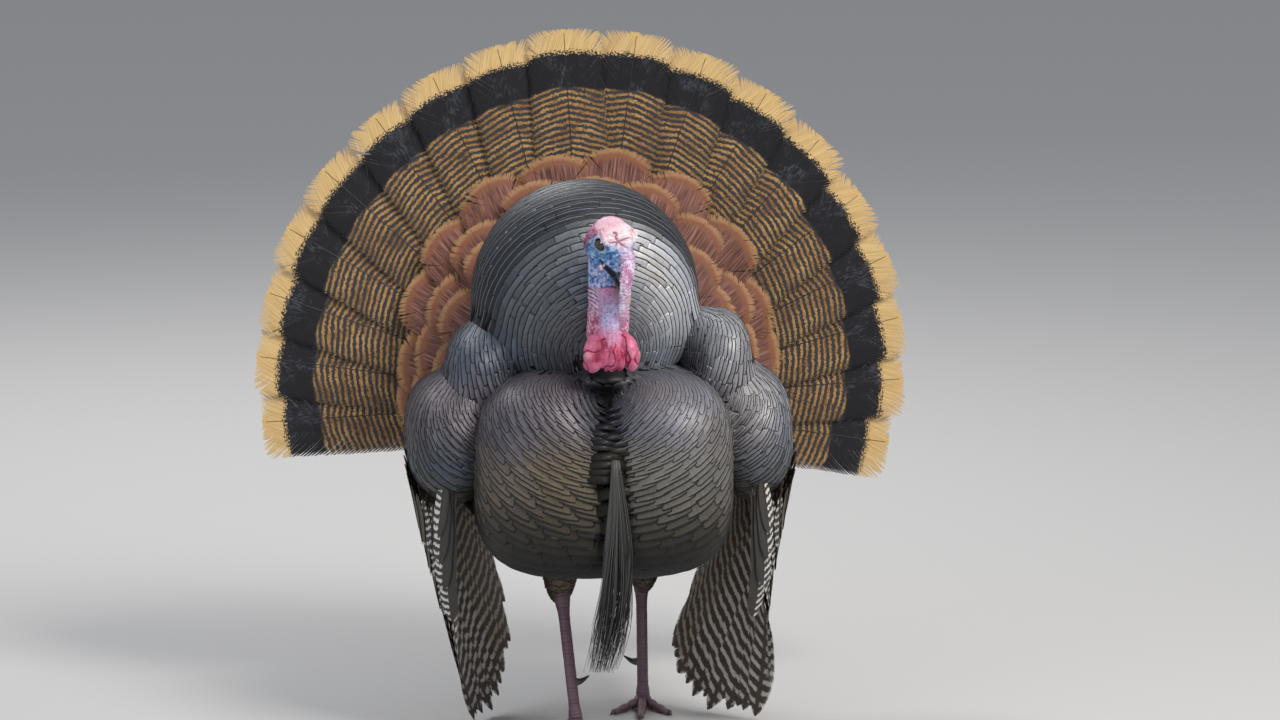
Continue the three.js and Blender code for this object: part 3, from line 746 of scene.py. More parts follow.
def outline_points(length, half, bare, tip_height, squareness):
    """Right half of a vane's outline: a side that widens from the quill, then a rounded square end."""
    y = np.linspace(bare * length, length - tip_height, SIDE_POINTS)
    x = half * (0.30 + 0.70 * smooth(y, bare * length * 0.5, length * 0.55))
    turn = np.linspace(0, np.pi / 2, SIDE_POINTS)[1:]
    tip_x = half * np.cos(turn) ** (2 / squareness)
    tip_y = length - tip_height + tip_height * np.sin(turn) ** (2 / squareness)
    return np.concatenate([x, tip_x]), np.concatenate([y, tip_y])


def long_feather(place, length, half, number, random, barbs=90, bare=0.06, tip_height=22.0, squareness=3.0,
                 slope=1.0, fray=1.2, splits=2, bundle=4, clump=0.0, dense=0.5, shaft=(1.3, 0.35), cup=0.12,
                 crown=7.0):
    """One feather as a shaft and two rows of barbs. place(x, y, z) bends its plane, in millimetres.

    A barb is a strip between two rails that run from the shaft to the outline, three-cornered across.
    Neighbours share a rail, except at a few splits, and between the bundles into which the ends of the
    last barbs are drawn. The share dense of the barbs ends on the tip, and the rest on the side.
    """
    parts = []
    ring = len(BARB_STEPS)
    for side in (-1, 1):
        x, y = outline_points(length, half, bare, tip_height, squareness)
        run = np.concatenate([[0], np.cumsum(np.hypot(np.diff(x), np.diff(y)))])
        bend = run[SIDE_POINTS - 1]
        cuts = random.integers(int(barbs * 0.25), barbs, splits)
        width = random.uniform(0.4, 1.5, splits) * fray
        i = np.arange(barbs)
        member = np.cumsum(random.random(barbs) < 1 / bundle)
        centre = (np.bincount(member, i) / np.maximum(np.bincount(member), 1))[member] + 0.5
        short = random.normal(0, 0.8, member[-1] + 1)[member] + random.normal(0, 0.5, barbs)
        short = np.abs(short) * fray * smooth(i, barbs * 0.1, barbs * 0.5)
        knots = [0, 1 - dense, 1], [0, bend, run[-1]]
        lines = []
        for j, at_cut in ((i, 1.0), (i + 1, -1.0)):
            gap = j[:, None] - cuts[None]
            pull = (np.where(gap == 0, at_cut, np.sign(gap)) * np.exp(-np.abs(gap) / 5.0) * width).sum(1)
            even = np.interp(j / barbs, *knots)
            drawn = (np.interp(centre / barbs, *knots) - even) * clump * smooth(even, bend - 6, bend + 9)
            pull = pull * smooth(even, 0, run[-1] * 0.2)
            ex, ey = np.interp(even, run, x), np.interp(even, run, y)
            root = np.minimum(np.maximum(ey - slope * ex, bare * length * 0.4 + j * 0.02), length - 1.5)
            keep = 1 - np.minimum(short / np.maximum(np.hypot(ex, ey - root), 1.0), 0.3)
            end = np.stack([ex * keep, root + (ey - root) * keep], -1)
            shaft_end = np.stack([np.zeros(barbs), root], -1)
            control = shaft_end + (end - shaft_end) * [0.62, 0.42]
            u = BARB_STEPS[None, :, None]
            line = (1 - u) ** 2 * shaft_end[:, None] + 2 * u * (1 - u) * control[:, None] + u**2 * end[:, None]
            for offset_run, share in ((drawn, DRAWN_SHARE), (pull, SPLIT_SHARE)):
                moved = np.clip(even + offset_run, 0, run[-1])
                off = np.stack([np.interp(moved, run, x) - ex, np.interp(moved, run, y) - ey], -1)
                line = line + off[:, None] * share[None, :, None]
            lines.append(line)
        a, b = lines
        middle = (a + b) / 2
        taper = BARB_TAPER[None, :, None]
        a, b = middle + (a - middle) * taper, middle + (b - middle) * taper
        flat = np.stack([a, b, middle], 2)
        height = np.zeros(flat.shape[:3])
        height[:, :, 2] = -BARB_THICK
        lateral = side * flat[..., 0]
        height = height - cup * half * (flat[..., 0] / half) ** 2
        points = place(lateral.ravel(), flat[..., 1].ravel(), height.ravel())
        back = np.maximum(length - crown * (flat[..., 0] / half) ** 2 - flat[..., 1], 0.0)
        vane = np.stack([lateral / half, back, np.full(back.shape, float(number))], -1).reshape(-1, 3)
        r, c = np.meshgrid(np.arange(ring - 1), np.arange(3), indexing="ij")
        quads = np.stack([r * 3 + c, r * 3 + (c + 1) % 3, (r + 1) * 3 + (c + 1) % 3, (r + 1) * 3 + c], -1)
        quads = quads.reshape(-1, 4)
        ends = np.array([[2, 1, 0], [3 * ring - 3, 3 * ring - 2, 3 * ring - 1]])
        one = np.concatenate([quads.ravel(), ends.ravel()])
        many = (one[None] + (i * 3 * ring)[:, None]).ravel()
        faces = outward(points, many, np.tile(np.concatenate([np.full(len(quads), 4), [3, 3]]), barbs))
        parts.append((points, faces, vane, np.zeros(len(faces[1]), int)))
    y = np.linspace(0, length * 0.985, SHAFT_RINGS)
    radius = mix(shaft[0], shaft[1], (y / length) ** 0.8)
    turn = np.linspace(0, 2 * np.pi, SHAFT_SIDES, endpoint=False)
    ring_x = radius[:, None] * np.cos(turn)
    ring_z = radius[:, None] * (0.25 + 0.75 * np.sin(turn))
    rings = place(ring_x.ravel(), np.repeat(y, SHAFT_SIDES), ring_z.ravel()).reshape(SHAFT_RINGS, SHAFT_SIDES, 3)
    points, faces = closed_rings(rings)
    vane = np.tile([0.0, length * 0.5, float(number)], (len(points), 1))
    return joined([*parts, (points, faces, vane, np.ones(len(faces[1]), int))])


def feather_group(name, feathers, materials, columns):
    """One piece of long feathers. Each has a column of its own on the bake's map, its length up the map."""
    rows = -(-len(feathers) // columns)
    parts = []
    for number, (points, faces, vane, slots) in enumerate(feathers):
        row, column = divmod(number, columns)
        share = vane[:, 1] / max(vane[:, 1].max(), 1.0)
        u = (column + 0.5 + 0.42 * np.clip(vane[:, 0], -1, 1)) / columns
        parts.append((points, faces, np.stack([u, (row + 0.03 + 0.94 * share) / rows], -1), slots, vane))
    points, faces, bake, slots, vane = joined(parts)
    return new_object(name, points, faces, materials, bake, slots, vane=vane)


# ---- The tail's fan ----

LEAN_TURN = np.array([
    [1, 0, 0],
    [0, math.cos(-FAN_LEAN), -math.sin(-FAN_LEAN)],
    [0, math.sin(-FAN_LEAN), math.cos(-FAN_LEAN)],
])
FAN_BACK = LEAN_TURN @ np.array([0.0, 1.0, 0.0])


def fan_point(reach, angle, depth):
    """Place on the fan: that far from the hub, at that angle from the bird's left, that far behind the face."""
    reach, angle, depth = np.broadcast_arrays(reach, angle, depth)
    flat = np.stack([reach * np.cos(angle), depth, reach * np.sin(angle)], -1)
    return HUB + flat @ LEAN_TURN.T


def fan_place(angle, start, depth, tilt, twist=0.0):
    """Bending of a feather that points out from the hub. depth(y) is how far behind the face it runs."""
    out = LEAN_TURN @ np.array([math.cos(angle), 0.0, math.sin(angle)])
    side = np.cross(FAN_BACK, out)
    side = side * math.cos(tilt) + FAN_BACK * math.sin(tilt)
    front = unit(np.cross(side, out))

    def place(x, y, z):
        along = start + y
        swing = angle + twist * (y / 300.0) ** 2
        base = fan_point(along, swing, depth(y))
        return base + x[:, None] * side + z[:, None] * front

    return place


def rectrices(random):
    """The eighteen tail feathers. The tenth lies over the rest, and the others step back on each side."""
    made = []
    for i in range(FAN_COUNT):
        t = i / (FAN_COUNT - 1)
        angle = math.radians(mix(FAN_LOW["left"], 180 - FAN_LOW["right"], t))
        aside = abs(t - 0.5) * 2
        reach = mix(FAN_REACH["top"], FAN_REACH["left"] if t < 0.5 else FAN_REACH["right"], aside**1.35)
        from_top = i - FAN_COUNT // 2
        behind = abs(from_top) * 1.1 if from_top else -3.0
        start = 62.0
        length = reach - start - random.uniform(0, 3)
        depth = lambda y, b=behind, n=length: b - 10.0 * (y / n) ** 2
        place = fan_place(angle + random.normal(0, 0.004), start, depth, FAN_TILT * np.sign(from_top))
        made.append(long_feather(
            place, length, 46.0, i, random, barbs=130, tip_height=17.0, squareness=3.8, fray=1.3, splits=0,
            bundle=5, clump=0.6, shaft=(1.3, 0.3), cup=0.04, crown=6.0))
    return made


COVERT_ROWS = [
    {"count": 12, "top": 314, "side": 240, "inner": 130, "half": 46, "low": 0, "near": 9, "deep": 24},
    {"count": 11, "top": 286, "side": 216, "inner": 126, "half": 42, "low": 4, "near": 15, "deep": 38},
    {"count": 11, "top": 258, "side": 192, "inner": 120, "half": 38, "low": 0, "near": 20, "deep": 50},
]


def tail_coverts(random):
    """Rows of broad feathers over the foot of the fan, the shortest in front, the middle ones uppermost."""
    made = []
    for row in COVERT_ROWS:
        for k in range(row["count"]):
            t = (k + random.uniform(-0.15, 0.15)) / (row["count"] - 1)
            degrees = mix(row["low"], 180 - row["low"], t)
            angle = math.radians(degrees)
            reach = mix(row["side"], row["top"], math.sin(angle) ** 2) * random.uniform(0.965, 1.0)
            start = row["inner"] - 40
            length = reach - start
            under = 0.7 * abs(k - (row["count"] - 1) / 2)

            def depth(y, length=length, row=row, under=under):
                share = np.clip((y - 40) / (length - 40), 0, 1)
                return under - row["near"] - row["deep"] * (1 - 0.62 * share)

            tilt = math.radians(3.5) * np.sign(degrees - 90) + random.normal(0, 0.02)
            half = row["half"] * random.uniform(0.94, 1.06)
            place = fan_place(angle, start, depth, tilt, twist=random.normal(0, 0.02))
            made.append(long_feather(
                place, length, half, len(made), random, barbs=96, bare=0.12, tip_height=half * 0.72,
                squareness=2.5, slope=0.8, fray=1.6, splits=2, bundle=3, clump=0.3, dense=0.6, shaft=(0.8, 0.2),
                cup=0.10, crown=half * 0.45))
    return made


def undertail(random):
    """Broad soft feathers behind the foot of the fan."""
    made = []
    for reach_top, reach_side, count, near in ((230, 194, 11, 20), (180, 150, 9, 30)):
        for k in range(count):
            degrees = mix(-12, 192, (k + random.uniform(-0.1, 0.1)) / (count - 1))
            angle = math.radians(degrees)
            reach = mix(reach_side, reach_top, math.sin(angle) ** 2) * random.uniform(0.95, 1.0)
            depth = lambda y, n=near, r=reach: n + 22 * (1 - np.clip(y / r, 0, 1))
            place = fan_place(angle, 12.0, depth, random.normal(0, 0.05))
            flipped = lambda x, y, z, g=place: g(-x, y, -z)
            made.append(long_feather(flipped, reach - 12, 34, len(made), random, barbs=60, tip_height=28,
                                     squareness=2.3, fray=2.0, splits=2, shaft=(0.9, 0.2), cup=0.1))
    return made


# ---- Wings ----

FEATHER_ROOTS = [[174, -132, 262], [208, -116, 278], [219, -88, 318], [208, -30, 352], [172, 40, 368]]
FEATHER_TIPS = {
    -1: [[150, -58, 1], [138, -34, 1], [114, 8, 8], [94, 54, 46], [96, 108, 98], [114, 150, 162]],
    1: [[190, -58, 1], [158, -32, 1], [116, 6, 4], [86, 52, 48], [112, 112, 106], [150, 166, 176]],
}
WING_BOW = 15.0
WING_STEPS = 24  # points along a wing feather's path
ALULA_PATH = [[176, -143, 300], [183, -148, 240], [185, -140, 185], [178, -118, 122]]


def wing_point(side, c, t):
    """Place on the drooped wing: c runs from the leading edge to the body, t from root to tip."""
    root, tip = curve_points(FEATHER_ROOTS, c), curve_points(FEATHER_TIPS[side], c)
    p = mix(root, tip, np.asarray(t)[..., None])
    bow = WING_BOW * np.sin(np.pi * np.asarray(t)) * (1 - 0.5 * c)
    return (p + bow[..., None] * np.array([1.0, 0.0, 0.0])) * np.array([side, 1.0, 1.0])


def wing_place(side, c, t0, t1, height, twist):
    """Bending of a wing feather from share t0 to t1 of the sheet, and its length.

    It is raised outwards by height and turned about its shaft, hind edge in.
    """
    t = np.linspace(t0, t1, WING_STEPS)
    line = lambda share: wing_point(side, np.full(WING_STEPS, share), t)
    path, beside = line(c), line(min(c + 0.03, 1.0)) - line(c - 0.03)
    ahead = unit(np.gradient(path, axis=0))
    across = unit(beside - ahead * (beside * ahead).sum(1, keepdims=True))
    out = np.cross(across, ahead)
    handed = np.sign((out @ np.array([side, -0.4, 0.1])).mean())
    across, out, twist = across * handed, out * handed, twist * handed
    across, out = across * math.cos(twist) + out * math.sin(twist), out * math.cos(twist) - across * math.sin(twist)
    length = float(np.linalg.norm(np.diff(path, axis=0), axis=1).sum())
    run = run_along(path)
    run = run / run[-1] * length
    return along_path(path, run, across, out, height), length


def along_path(path, run, across, out, height):
    """Bending of a feather along a path: run is its length so far, and across and out its two sides."""
    def pick(values, y):
        return np.stack([np.interp(y, run, values[:, k]) for k in range(3)], -1)

    def place(x, y, z):
        return pick(path, y) + x[:, None] * pick(across, y) + (z + height)[:, None] * pick(out, y)

    return place


def flight_feathers(side, random):
    """Ten primaries, then ten secondaries, each with its hind edge inwards of the next."""
    made = {"primaries": [], "secondaries": []}
    for i in range(20):
        group = "primaries" if i < 10 else "secondaries"
        c = (i + 0.4) / 20
        tip = 0.99 - 0.035 * (i % 2) - 0.01 * (i % 3) if i < 10 else 0.93 + random.uniform(-0.02, 0.03)
        place, length = wing_place(side, c, 0.03, tip, -1.6 + 0.12 * i, -0.12)
        half = (18.0 if side < 0 else 20.0) if i < 10 else 18.0
        made[group].append(long_feather(
            place, length, half, len(made[group]), random, barbs=84, tip_height=64.0 if i < 10 else 36.0,
            squareness=1.45 if i < 10 else 1.7, slope=1.5, fray=0.7, splits=2, clump=0.1, dense=0.35,
            shaft=(1.8, 0.4), cup=0.08, crown=8.0))
    return made


WING_COVERT_ROWS = [
    {"count": 19, "from": 0.03, "to": 0.46, "half": 12.5, "height": 3.2},
    {"count": 18, "from": 0.0, "to": 0.31, "half": 12.0, "height": 6.0},
    {"count": 17, "from": -0.05, "to": 0.18, "half": 11.5, "height": 8.4},
]
PRIMARY_SHARE = 0.22  # of the wing's breadth whose coverts are barred


def wing_coverts(side, random):
    """Rows of shorter feathers over the roots of the long ones: the barred ones in front, then the plain."""
    made = {"barred": [], "plain": []}
    for row in WING_COVERT_ROWS:
        for k in range(row["count"]):
            c = (k + 0.5 + random.uniform(-0.15, 0.15)) / row["count"]
            end = row["to"] + random.uniform(-0.02, 0.02) + 0.05 * c
            place, length = wing_place(side, c, row["from"], end, row["height"] + 0.1 * k, -0.10)
            group = "barred" if c < PRIMARY_SHARE else "plain"
            made[group].append(long_feather(
                place, length, row["half"], len(made[group]), random, barbs=44, tip_height=row["half"] * 1.1,
                squareness=2.2, slope=1.2, fray=0.5, splits=1, clump=0.1, shaft=(0.9, 0.25), cup=0.10, crown=4.0))
    return made


ALULA_FEATHERS = [
    {"from": 0.0, "to": 0.92, "half": 11.5, "aside": -2.0, "height": 0.0},
    {"from": -0.05, "to": 0.70, "half": 11.0, "aside": 3.0, "height": 1.8},
    {"from": -0.10, "to": 0.50, "half": 10.0, "aside": 7.0, "height": 3.4},
    {"from": -0.15, "to": 0.32, "half": 9.0, "aside": 10.0, "height": 4.8},
]


def alula(side, random):
    """Stiff feathers down the leading edge, the longest beneath."""
    made = []
    for number, part in enumerate(ALULA_FEATHERS):
        t = np.linspace(part["from"], part["to"], WING_STEPS)
        knots = np.array(ALULA_PATH, float) * [side, 1, 1]
        path = curve_points(knots, t) + np.minimum(t, 0)[:, None] * (knots[1] - knots[0]) * 3
        ahead = unit(np.gradient(path, axis=0))
        out = unit(np.array([0.45 * side, -0.9, 0.0]))
        across = unit(np.cross(ahead, out))
        normal = np.cross(across, ahead)
        run = run_along(path)
        outer = np.array([side * part["aside"], 0.0, 0.0])
        place = along_path(path + outer, run, across, normal, part["height"])
        made.append(long_feather(
            place, float(run[-1]), part["half"], number, random, barbs=60, tip_height=26.0, squareness=1.9,
            slope=1.4, fray=0.5, splits=1, dense=0.35, shaft=(1.4, 0.3), cup=0.14, crown=6.0))
    return made


# ---- Skin: head, neck, body and legs ----

NECK_PATH = [[2, -186, 590], [1, -194, 560], [3, -196, 528], [2, -190, 490], [3, -180, 448], [2, -150, 410]]
SNOOD_PATH = [on_head(21, 0, 14), on_head(32, 0, 15.5), [19, -254, 556], [16, -255, 525], [15, -253.5, 501]]
CARUNCLES = [
    {"centre": [-16, -222, 470], "radii": [13.4, 14.0, 22.4], "turn": 7},
    {"centre": [-1.5, -223, 462], "radii": [6.4, 10.0, 13.5], "turn": 2},
    {"centre": [6, -228, 464], "radii": [7.4, 11.0, 15.2], "turn": 5},
    {"centre": [13, -228, 464], "radii": [6.6, 11.0, 14.8], "turn": -6},
    {"centre": [26, -222, 470], "radii": [10.4, 13.2, 21.6], "turn": -9},
]
LEGS = {
    "right": {"hock": [-44, -58, 152], "ankle": [-31, -104, 17], "turn": 8, "inward": 1},
    "left": {"hock": [56, 22, 152], "ankle": [58, 24, 17], "turn": -6, "inward": -1},
}
TOES = [(0, 84), (34, 66), (-34, 66), (180, 34)]

WHITE = (0.84, 0.68, 0.73)
ICE = (0.50, 0.62, 0.84)
BLUE = (0.085, 0.255, 0.56)
LILAC = (0.46, 0.38, 0.62)
ROSE = (0.58, 0.20, 0.32)
MAGENTA = (0.58, 0.09, 0.20)
PLUM = (0.16, 0.05, 0.10)
CRIMSON = (0.34, 0.022, 0.07)
KNOB = (28.5, 22.2, -8.2)  # swelling under the corner of the mouth: ahead, aside, up
# Near-black painted shade for the body's skin, which shows through gaps in the coat.
PAINTED_SHADE_SKIN = (0.010, 0.009, 0.010)
LEG = (0.160, 0.092, 0.120)


def in_head(p):
    """How far ahead, left and up each point lies in the head's own frame."""
    q = p - HEAD_CENTRE
    return q @ AHEAD, q @ LEFT, q @ UP


def y_turn(degrees):
    """Matrix of a turn about the Y axis."""
    c, s = math.cos(math.radians(degrees)), math.sin(math.radians(degrees))
    return np.array([[c, 0, s], [0, 1, 0], [-s, 0, c]])


def egg(centre, radii, turn=0.0, around=28, rings=18):
    """Closed egg shape, turned in degrees about the Y axis."""
    points, faces = lobe_mesh(Lobe([0, 0, 0], radii), 0.0, around, rings)
    return points @ y_turn(turn).T + centre, faces


def head_parts():
    """The closed shapes that are melted into the head and neck."""
    t = np.linspace(0, 1, 40)
    middle = curve_points(on_head([-14.7, -6.7, 4.3, 23.3, 44], [0] * 5, [-9.7, -3.7, -1.7, -5.7, -9]), t)
    stops = [0, 0.2, 0.42, 0.65, 0.85, 1]
    wide = np.interp(t, stops, [19, 29.6, 33.6, 27, 16, 6.5])
    high = np.interp(t, stops, [14, 26.0, 29.4, 25.0, 14.6, 7])
    parts = [tube(middle, wide, high, LEFT, 40)]
    for side in (-1, 1):
        brow = curve_points(on_head([-8, 5, 17], [side * 25.4, side * 28.0, side * 20.5], [15.5, 17.0, 11.5]), t)
        cheek = curve_points(on_head([-12, 4, 18], [side * 26.6, side * 27.6, side * 21], [-7.5, -10.5, -12]), t)
        gape = curve_points(on_head([16, 30, 46], [side * 21.6, side * 17.0, side * 8.4], [-10, -10.5, -9.5]), t)
        swell = np.sin(np.pi * np.clip(t, 0.05, 0.95)) ** 0.5
        parts.append(tube(brow, 3.4 * swell, 2.6 * swell, UP, 12))
        parts.append(tube(cheek, 5.0 * swell, 4.0 * swell, UP, 14))
        parts.append(tube(gape, 3.0 * swell, 3.0 * swell, UP, 12))
        parts.append(egg(on_head(KNOB[0], side * (KNOB[1] - 1.0), KNOB[2]), [4.4, 4.0, 4.6], 0, 14, 10))
    throat = curve_points([on_head(34, 0, -12), on_head(16, 0, -20), [2, -205, 566], [3, -203, 538]], t)
    parts.append(tube(throat, np.interp(t, [0, 0.5, 1], [6, 11, 14]), np.interp(t, [0, 0.5, 1], [5, 9, 10]), LEFT, 24))
    dewlap = curve_points([[4, -206, 512], [5, -212, 492], [5, -216, 474]], t)
    parts.append(tube(dewlap, mix(17, 20, t), mix(10, 11, t), [1, 0, 0], 24))
    t = np.linspace(0, 0.64, 60)
    parts.append(tube(curve_points(NECK_PATH, t), mix(21.6, 25.0, t), mix(19.6, 25.0, t), [1, 0, 0], 40))
    t = np.linspace(0, 1, 60)
    wide = mix(11.6, 3.9, t**0.6) + 0.7 * np.sin(t * 17) + 1.2 * np.sin(np.pi * t)
    parts.append(tube(curve_points(SNOOD_PATH, t), wide, mix(8.2, 3.7, t), LEFT, 20))
    parts += [egg(np.array(c["centre"], float), c["radii"], c["turn"]) for c in CARUNCLES]
    return parts


def caruncle_depth(p):
    """How far out a point is from the nearest caruncle: below 1 inside it."""
    depths = [np.linalg.norm(((p - c["centre"]) @ y_turn(c["turn"])) / c["radii"], axis=1) for c in CARUNCLES]
    return np.min(depths, axis=0)


PATH_STEPS = 80  # points of a path to which distances are measured


def path_reach(p, path):
    """Distance from each point to a path, and the share of the path nearest to it."""
    line = curve_points(path, np.linspace(0, 1, PATH_STEPS))
    away = np.linalg.norm(p[:, None] - line[None], axis=2)
    near = away.argmin(1)
    return away[np.arange(len(p)), near], near / (PATH_STEPS - 1)


JAW = 548.0  # height of the crease between the cheek and the throat
CREASES = [  # ahead and to the left along each furrow of the crown
    [[9, -25], [11, -18], [12, -12], [11, -3], [10, 6]],
    [[12, -12], [17, -7], [20, -2], [23, 4]],
    [[12, -12], [16, -17], [20, -21]],
    [[12, -12], [7, -14], [3, -12], [1, -15]],
]


def dimples(p, size, seed, limit):
    """1 in small round spots scattered one a cube, 0 between."""
    return smooth(-warts(p, size, seed), -limit, -limit * 0.5)


def head_zones(p):
    """Shares of the parts of the head and neck at each point, each from 0 to 1."""
    ahead, left, up = in_head(p)
    snood_away, snood_share = path_reach(p, SNOOD_PATH)
    z = {"ahead": ahead, "left": left, "up": up, "snood_share": snood_share}
    z["snood"] = smooth(-snood_away, -13.5, -10.0) * smooth(snood_share, -0.02, 0.08)
    z["caruncle"] = smooth(-caruncle_depth(p), -1.30, -1.10)
    brow = up - 12.5 - 0.20 * ahead + 3.0 * noise(p, 7, 41)
    z["crown"] = smooth(brow, -1.5, 3.5) * smooth(ahead, -30, -14) * (1 - z["snood"])
    jaw = JAW - 10 * smooth(np.abs(left), 9, 22) + 4.5 * noise(p, 9, 42)
    z["neck"] = smooth(jaw - p[:, 2], -1.5, 1.5)
    z["nape"] = smooth(-ahead - 0.25 * up, -6, 8) * (1 - z["neck"])
    z["side"] = smooth(np.abs(p[:, 0] - 3), 9, 15)
    z["back"] = smooth(p[:, 1], -200, -188)
    eye = np.stack([np.full(len(p), EYE_PLACE[0]), np.sign(left) * EYE_PLACE[1], np.full(len(p), EYE_PLACE[2])], -1)
    z["eye"] = np.linalg.norm(np.stack([ahead, left, up], -1) - eye, axis=1)
    slant = math.radians(-18)
    dx, dy = ahead - EYE_PLACE[0], up - EYE_PLACE[2]
    x, y = dx * math.cos(slant) + dy * math.sin(slant), dy * math.cos(slant) - dx * math.sin(slant)
    almond = (x / 6.8) ** 2 + (y / 4.0) ** 2
    outside = smooth(np.abs(left), 14, 19)
    z["opening"] = smooth(1 - almond, -0.12, 0.15) * outside
    z["lid"] = bell(np.sqrt(almond) - 1.38, 0.22) * outside
    z["gape"] = (
        bell(up + 5.6 + 0.06 * (ahead - 22), 1.3 + 0.05 * np.clip(ahead - 20, 0, 30))
        * smooth(ahead, 18, 24) * smooth(-ahead, -60, -54) * smooth(np.abs(left), 3, 6)
    )
    z["jaw"] = bell(p[:, 2] - jaw, 1.6) * smooth(-np.abs(left), -18, -10) * smooth(-p[:, 1], 205, 214)
    flat = np.stack([ahead, left, 0 * ahead], -1)
    reach = np.min([path_reach(flat, [[*knot, 0] for knot in c])[0] for c in CREASES], axis=0)
    z["crease"] = bell(reach, 1.25 + 0.6 * noise(p, 6, 43)) * z["crown"]
    z["bare"] = (1 - z["snood"]) * (1 - z["caruncle"])
    z["face"] = smooth(np.abs(left), 8, 15) * (1 - z["crown"]) * (1 - z["neck"])
    return z


def head_relief(p, z):
    """How far the skin rises in millimetres: wrinkles, lids, beads and creases, each in its own zone."""
    ahead, face = z["ahead"], z["face"]
    soft = noise(p, 9, 3)
    folds = wave(ahead + 3.6 * soft, 4.6) + 0.6 * np.sin(2 * np.pi * (ahead + 5 * soft) / 2.7 + 1.7)
    pebbles = 1 - smooth(warts(p, 2.4, 5), 0.1, 0.62)
    rise = (0.34 * folds * smooth(ahead, -8, 8) + 0.7 * noise(p, 8, 44) + 0.35 * pebbles - 0.1) * z["crown"]
    rise = rise - 2.0 * z["crease"]
    ringed = wave(z["eye"] + 0.8 * soft, 2.6) * bell(z["eye"] - 12, 4.5)
    rise = rise + 0.34 * ringed * face + 1.5 * z["lid"] * (1 - z["opening"])
    rise = rise - 3.2 * z["opening"] - 3.0 * z["gape"] - 1.6 * z["jaw"]
    rise = rise + (0.95 * pebbles + 0.7 * noise(p, 5, 45) - 0.3) * face * (1 - z["opening"]) * smooth(z["eye"], 8, 12)
    large = np.sqrt(np.maximum(0, 1 - (warts(p, 5.0, 8) / 0.62) ** 2))
    small = np.sqrt(np.maximum(0, 1 - (warts(p, 3.2, 9) / 0.62) ** 2))
    low = smooth(-p[:, 2], -560, -505)
    beaded = z["neck"] * z["bare"] * np.maximum(z["side"], z["back"] * 0.7)
    rise = rise + (2.0 * large * low + 1.0 * small * (1 - low) - 0.5) * beaded
    wattle = wave(p[:, 0] + 3 * noise(p, 14, 4), 6.2)
    rise = rise + (0.45 * wattle * low + 0.4 * noise(p, 3.2, 46)) * z["neck"] * z["bare"] * (1 - z["side"])
    striae = wave(p[:, 0] * 0.8 + p[:, 2] + 2.5 * noise(p, 10, 6), 4.2)
    rise = rise + 0.9 * striae * z["neck"] * z["bare"] * z["side"] * smooth(p[:, 2], 496, 530)
    ruffled = wave(p[:, 2] + 2.2 * noise(p, 7, 47), 3.3)
    rise = rise + (0.30 * ruffled + 1.0 * noise(p * [1, 1, 0.5], 5.0, 12) + 0.35 * noise(p, 2.2, 13)) * z["snood"]
    lump = noise(p, 13, 15) * 1.1 + noise(p, 6, 16) * 0.5
    crease = bell(noise(p, 15, 17), 0.07) * 2.2 + bell(noise(p, 7, 18), 0.04) * 0.5
    rise = rise + (lump - crease) * z["caruncle"] * (1 - z["snood"])
    return rise + 0.16 * noise(p, 1.6, 19)


def tinted(base, colour, share):
    """base moved towards colour by each point's share. Either may be one colour or a row of them."""
    base = np.asarray(base)
    return base + (np.asarray(colour) - base) * np.clip(share, 0, 1)[:, None]


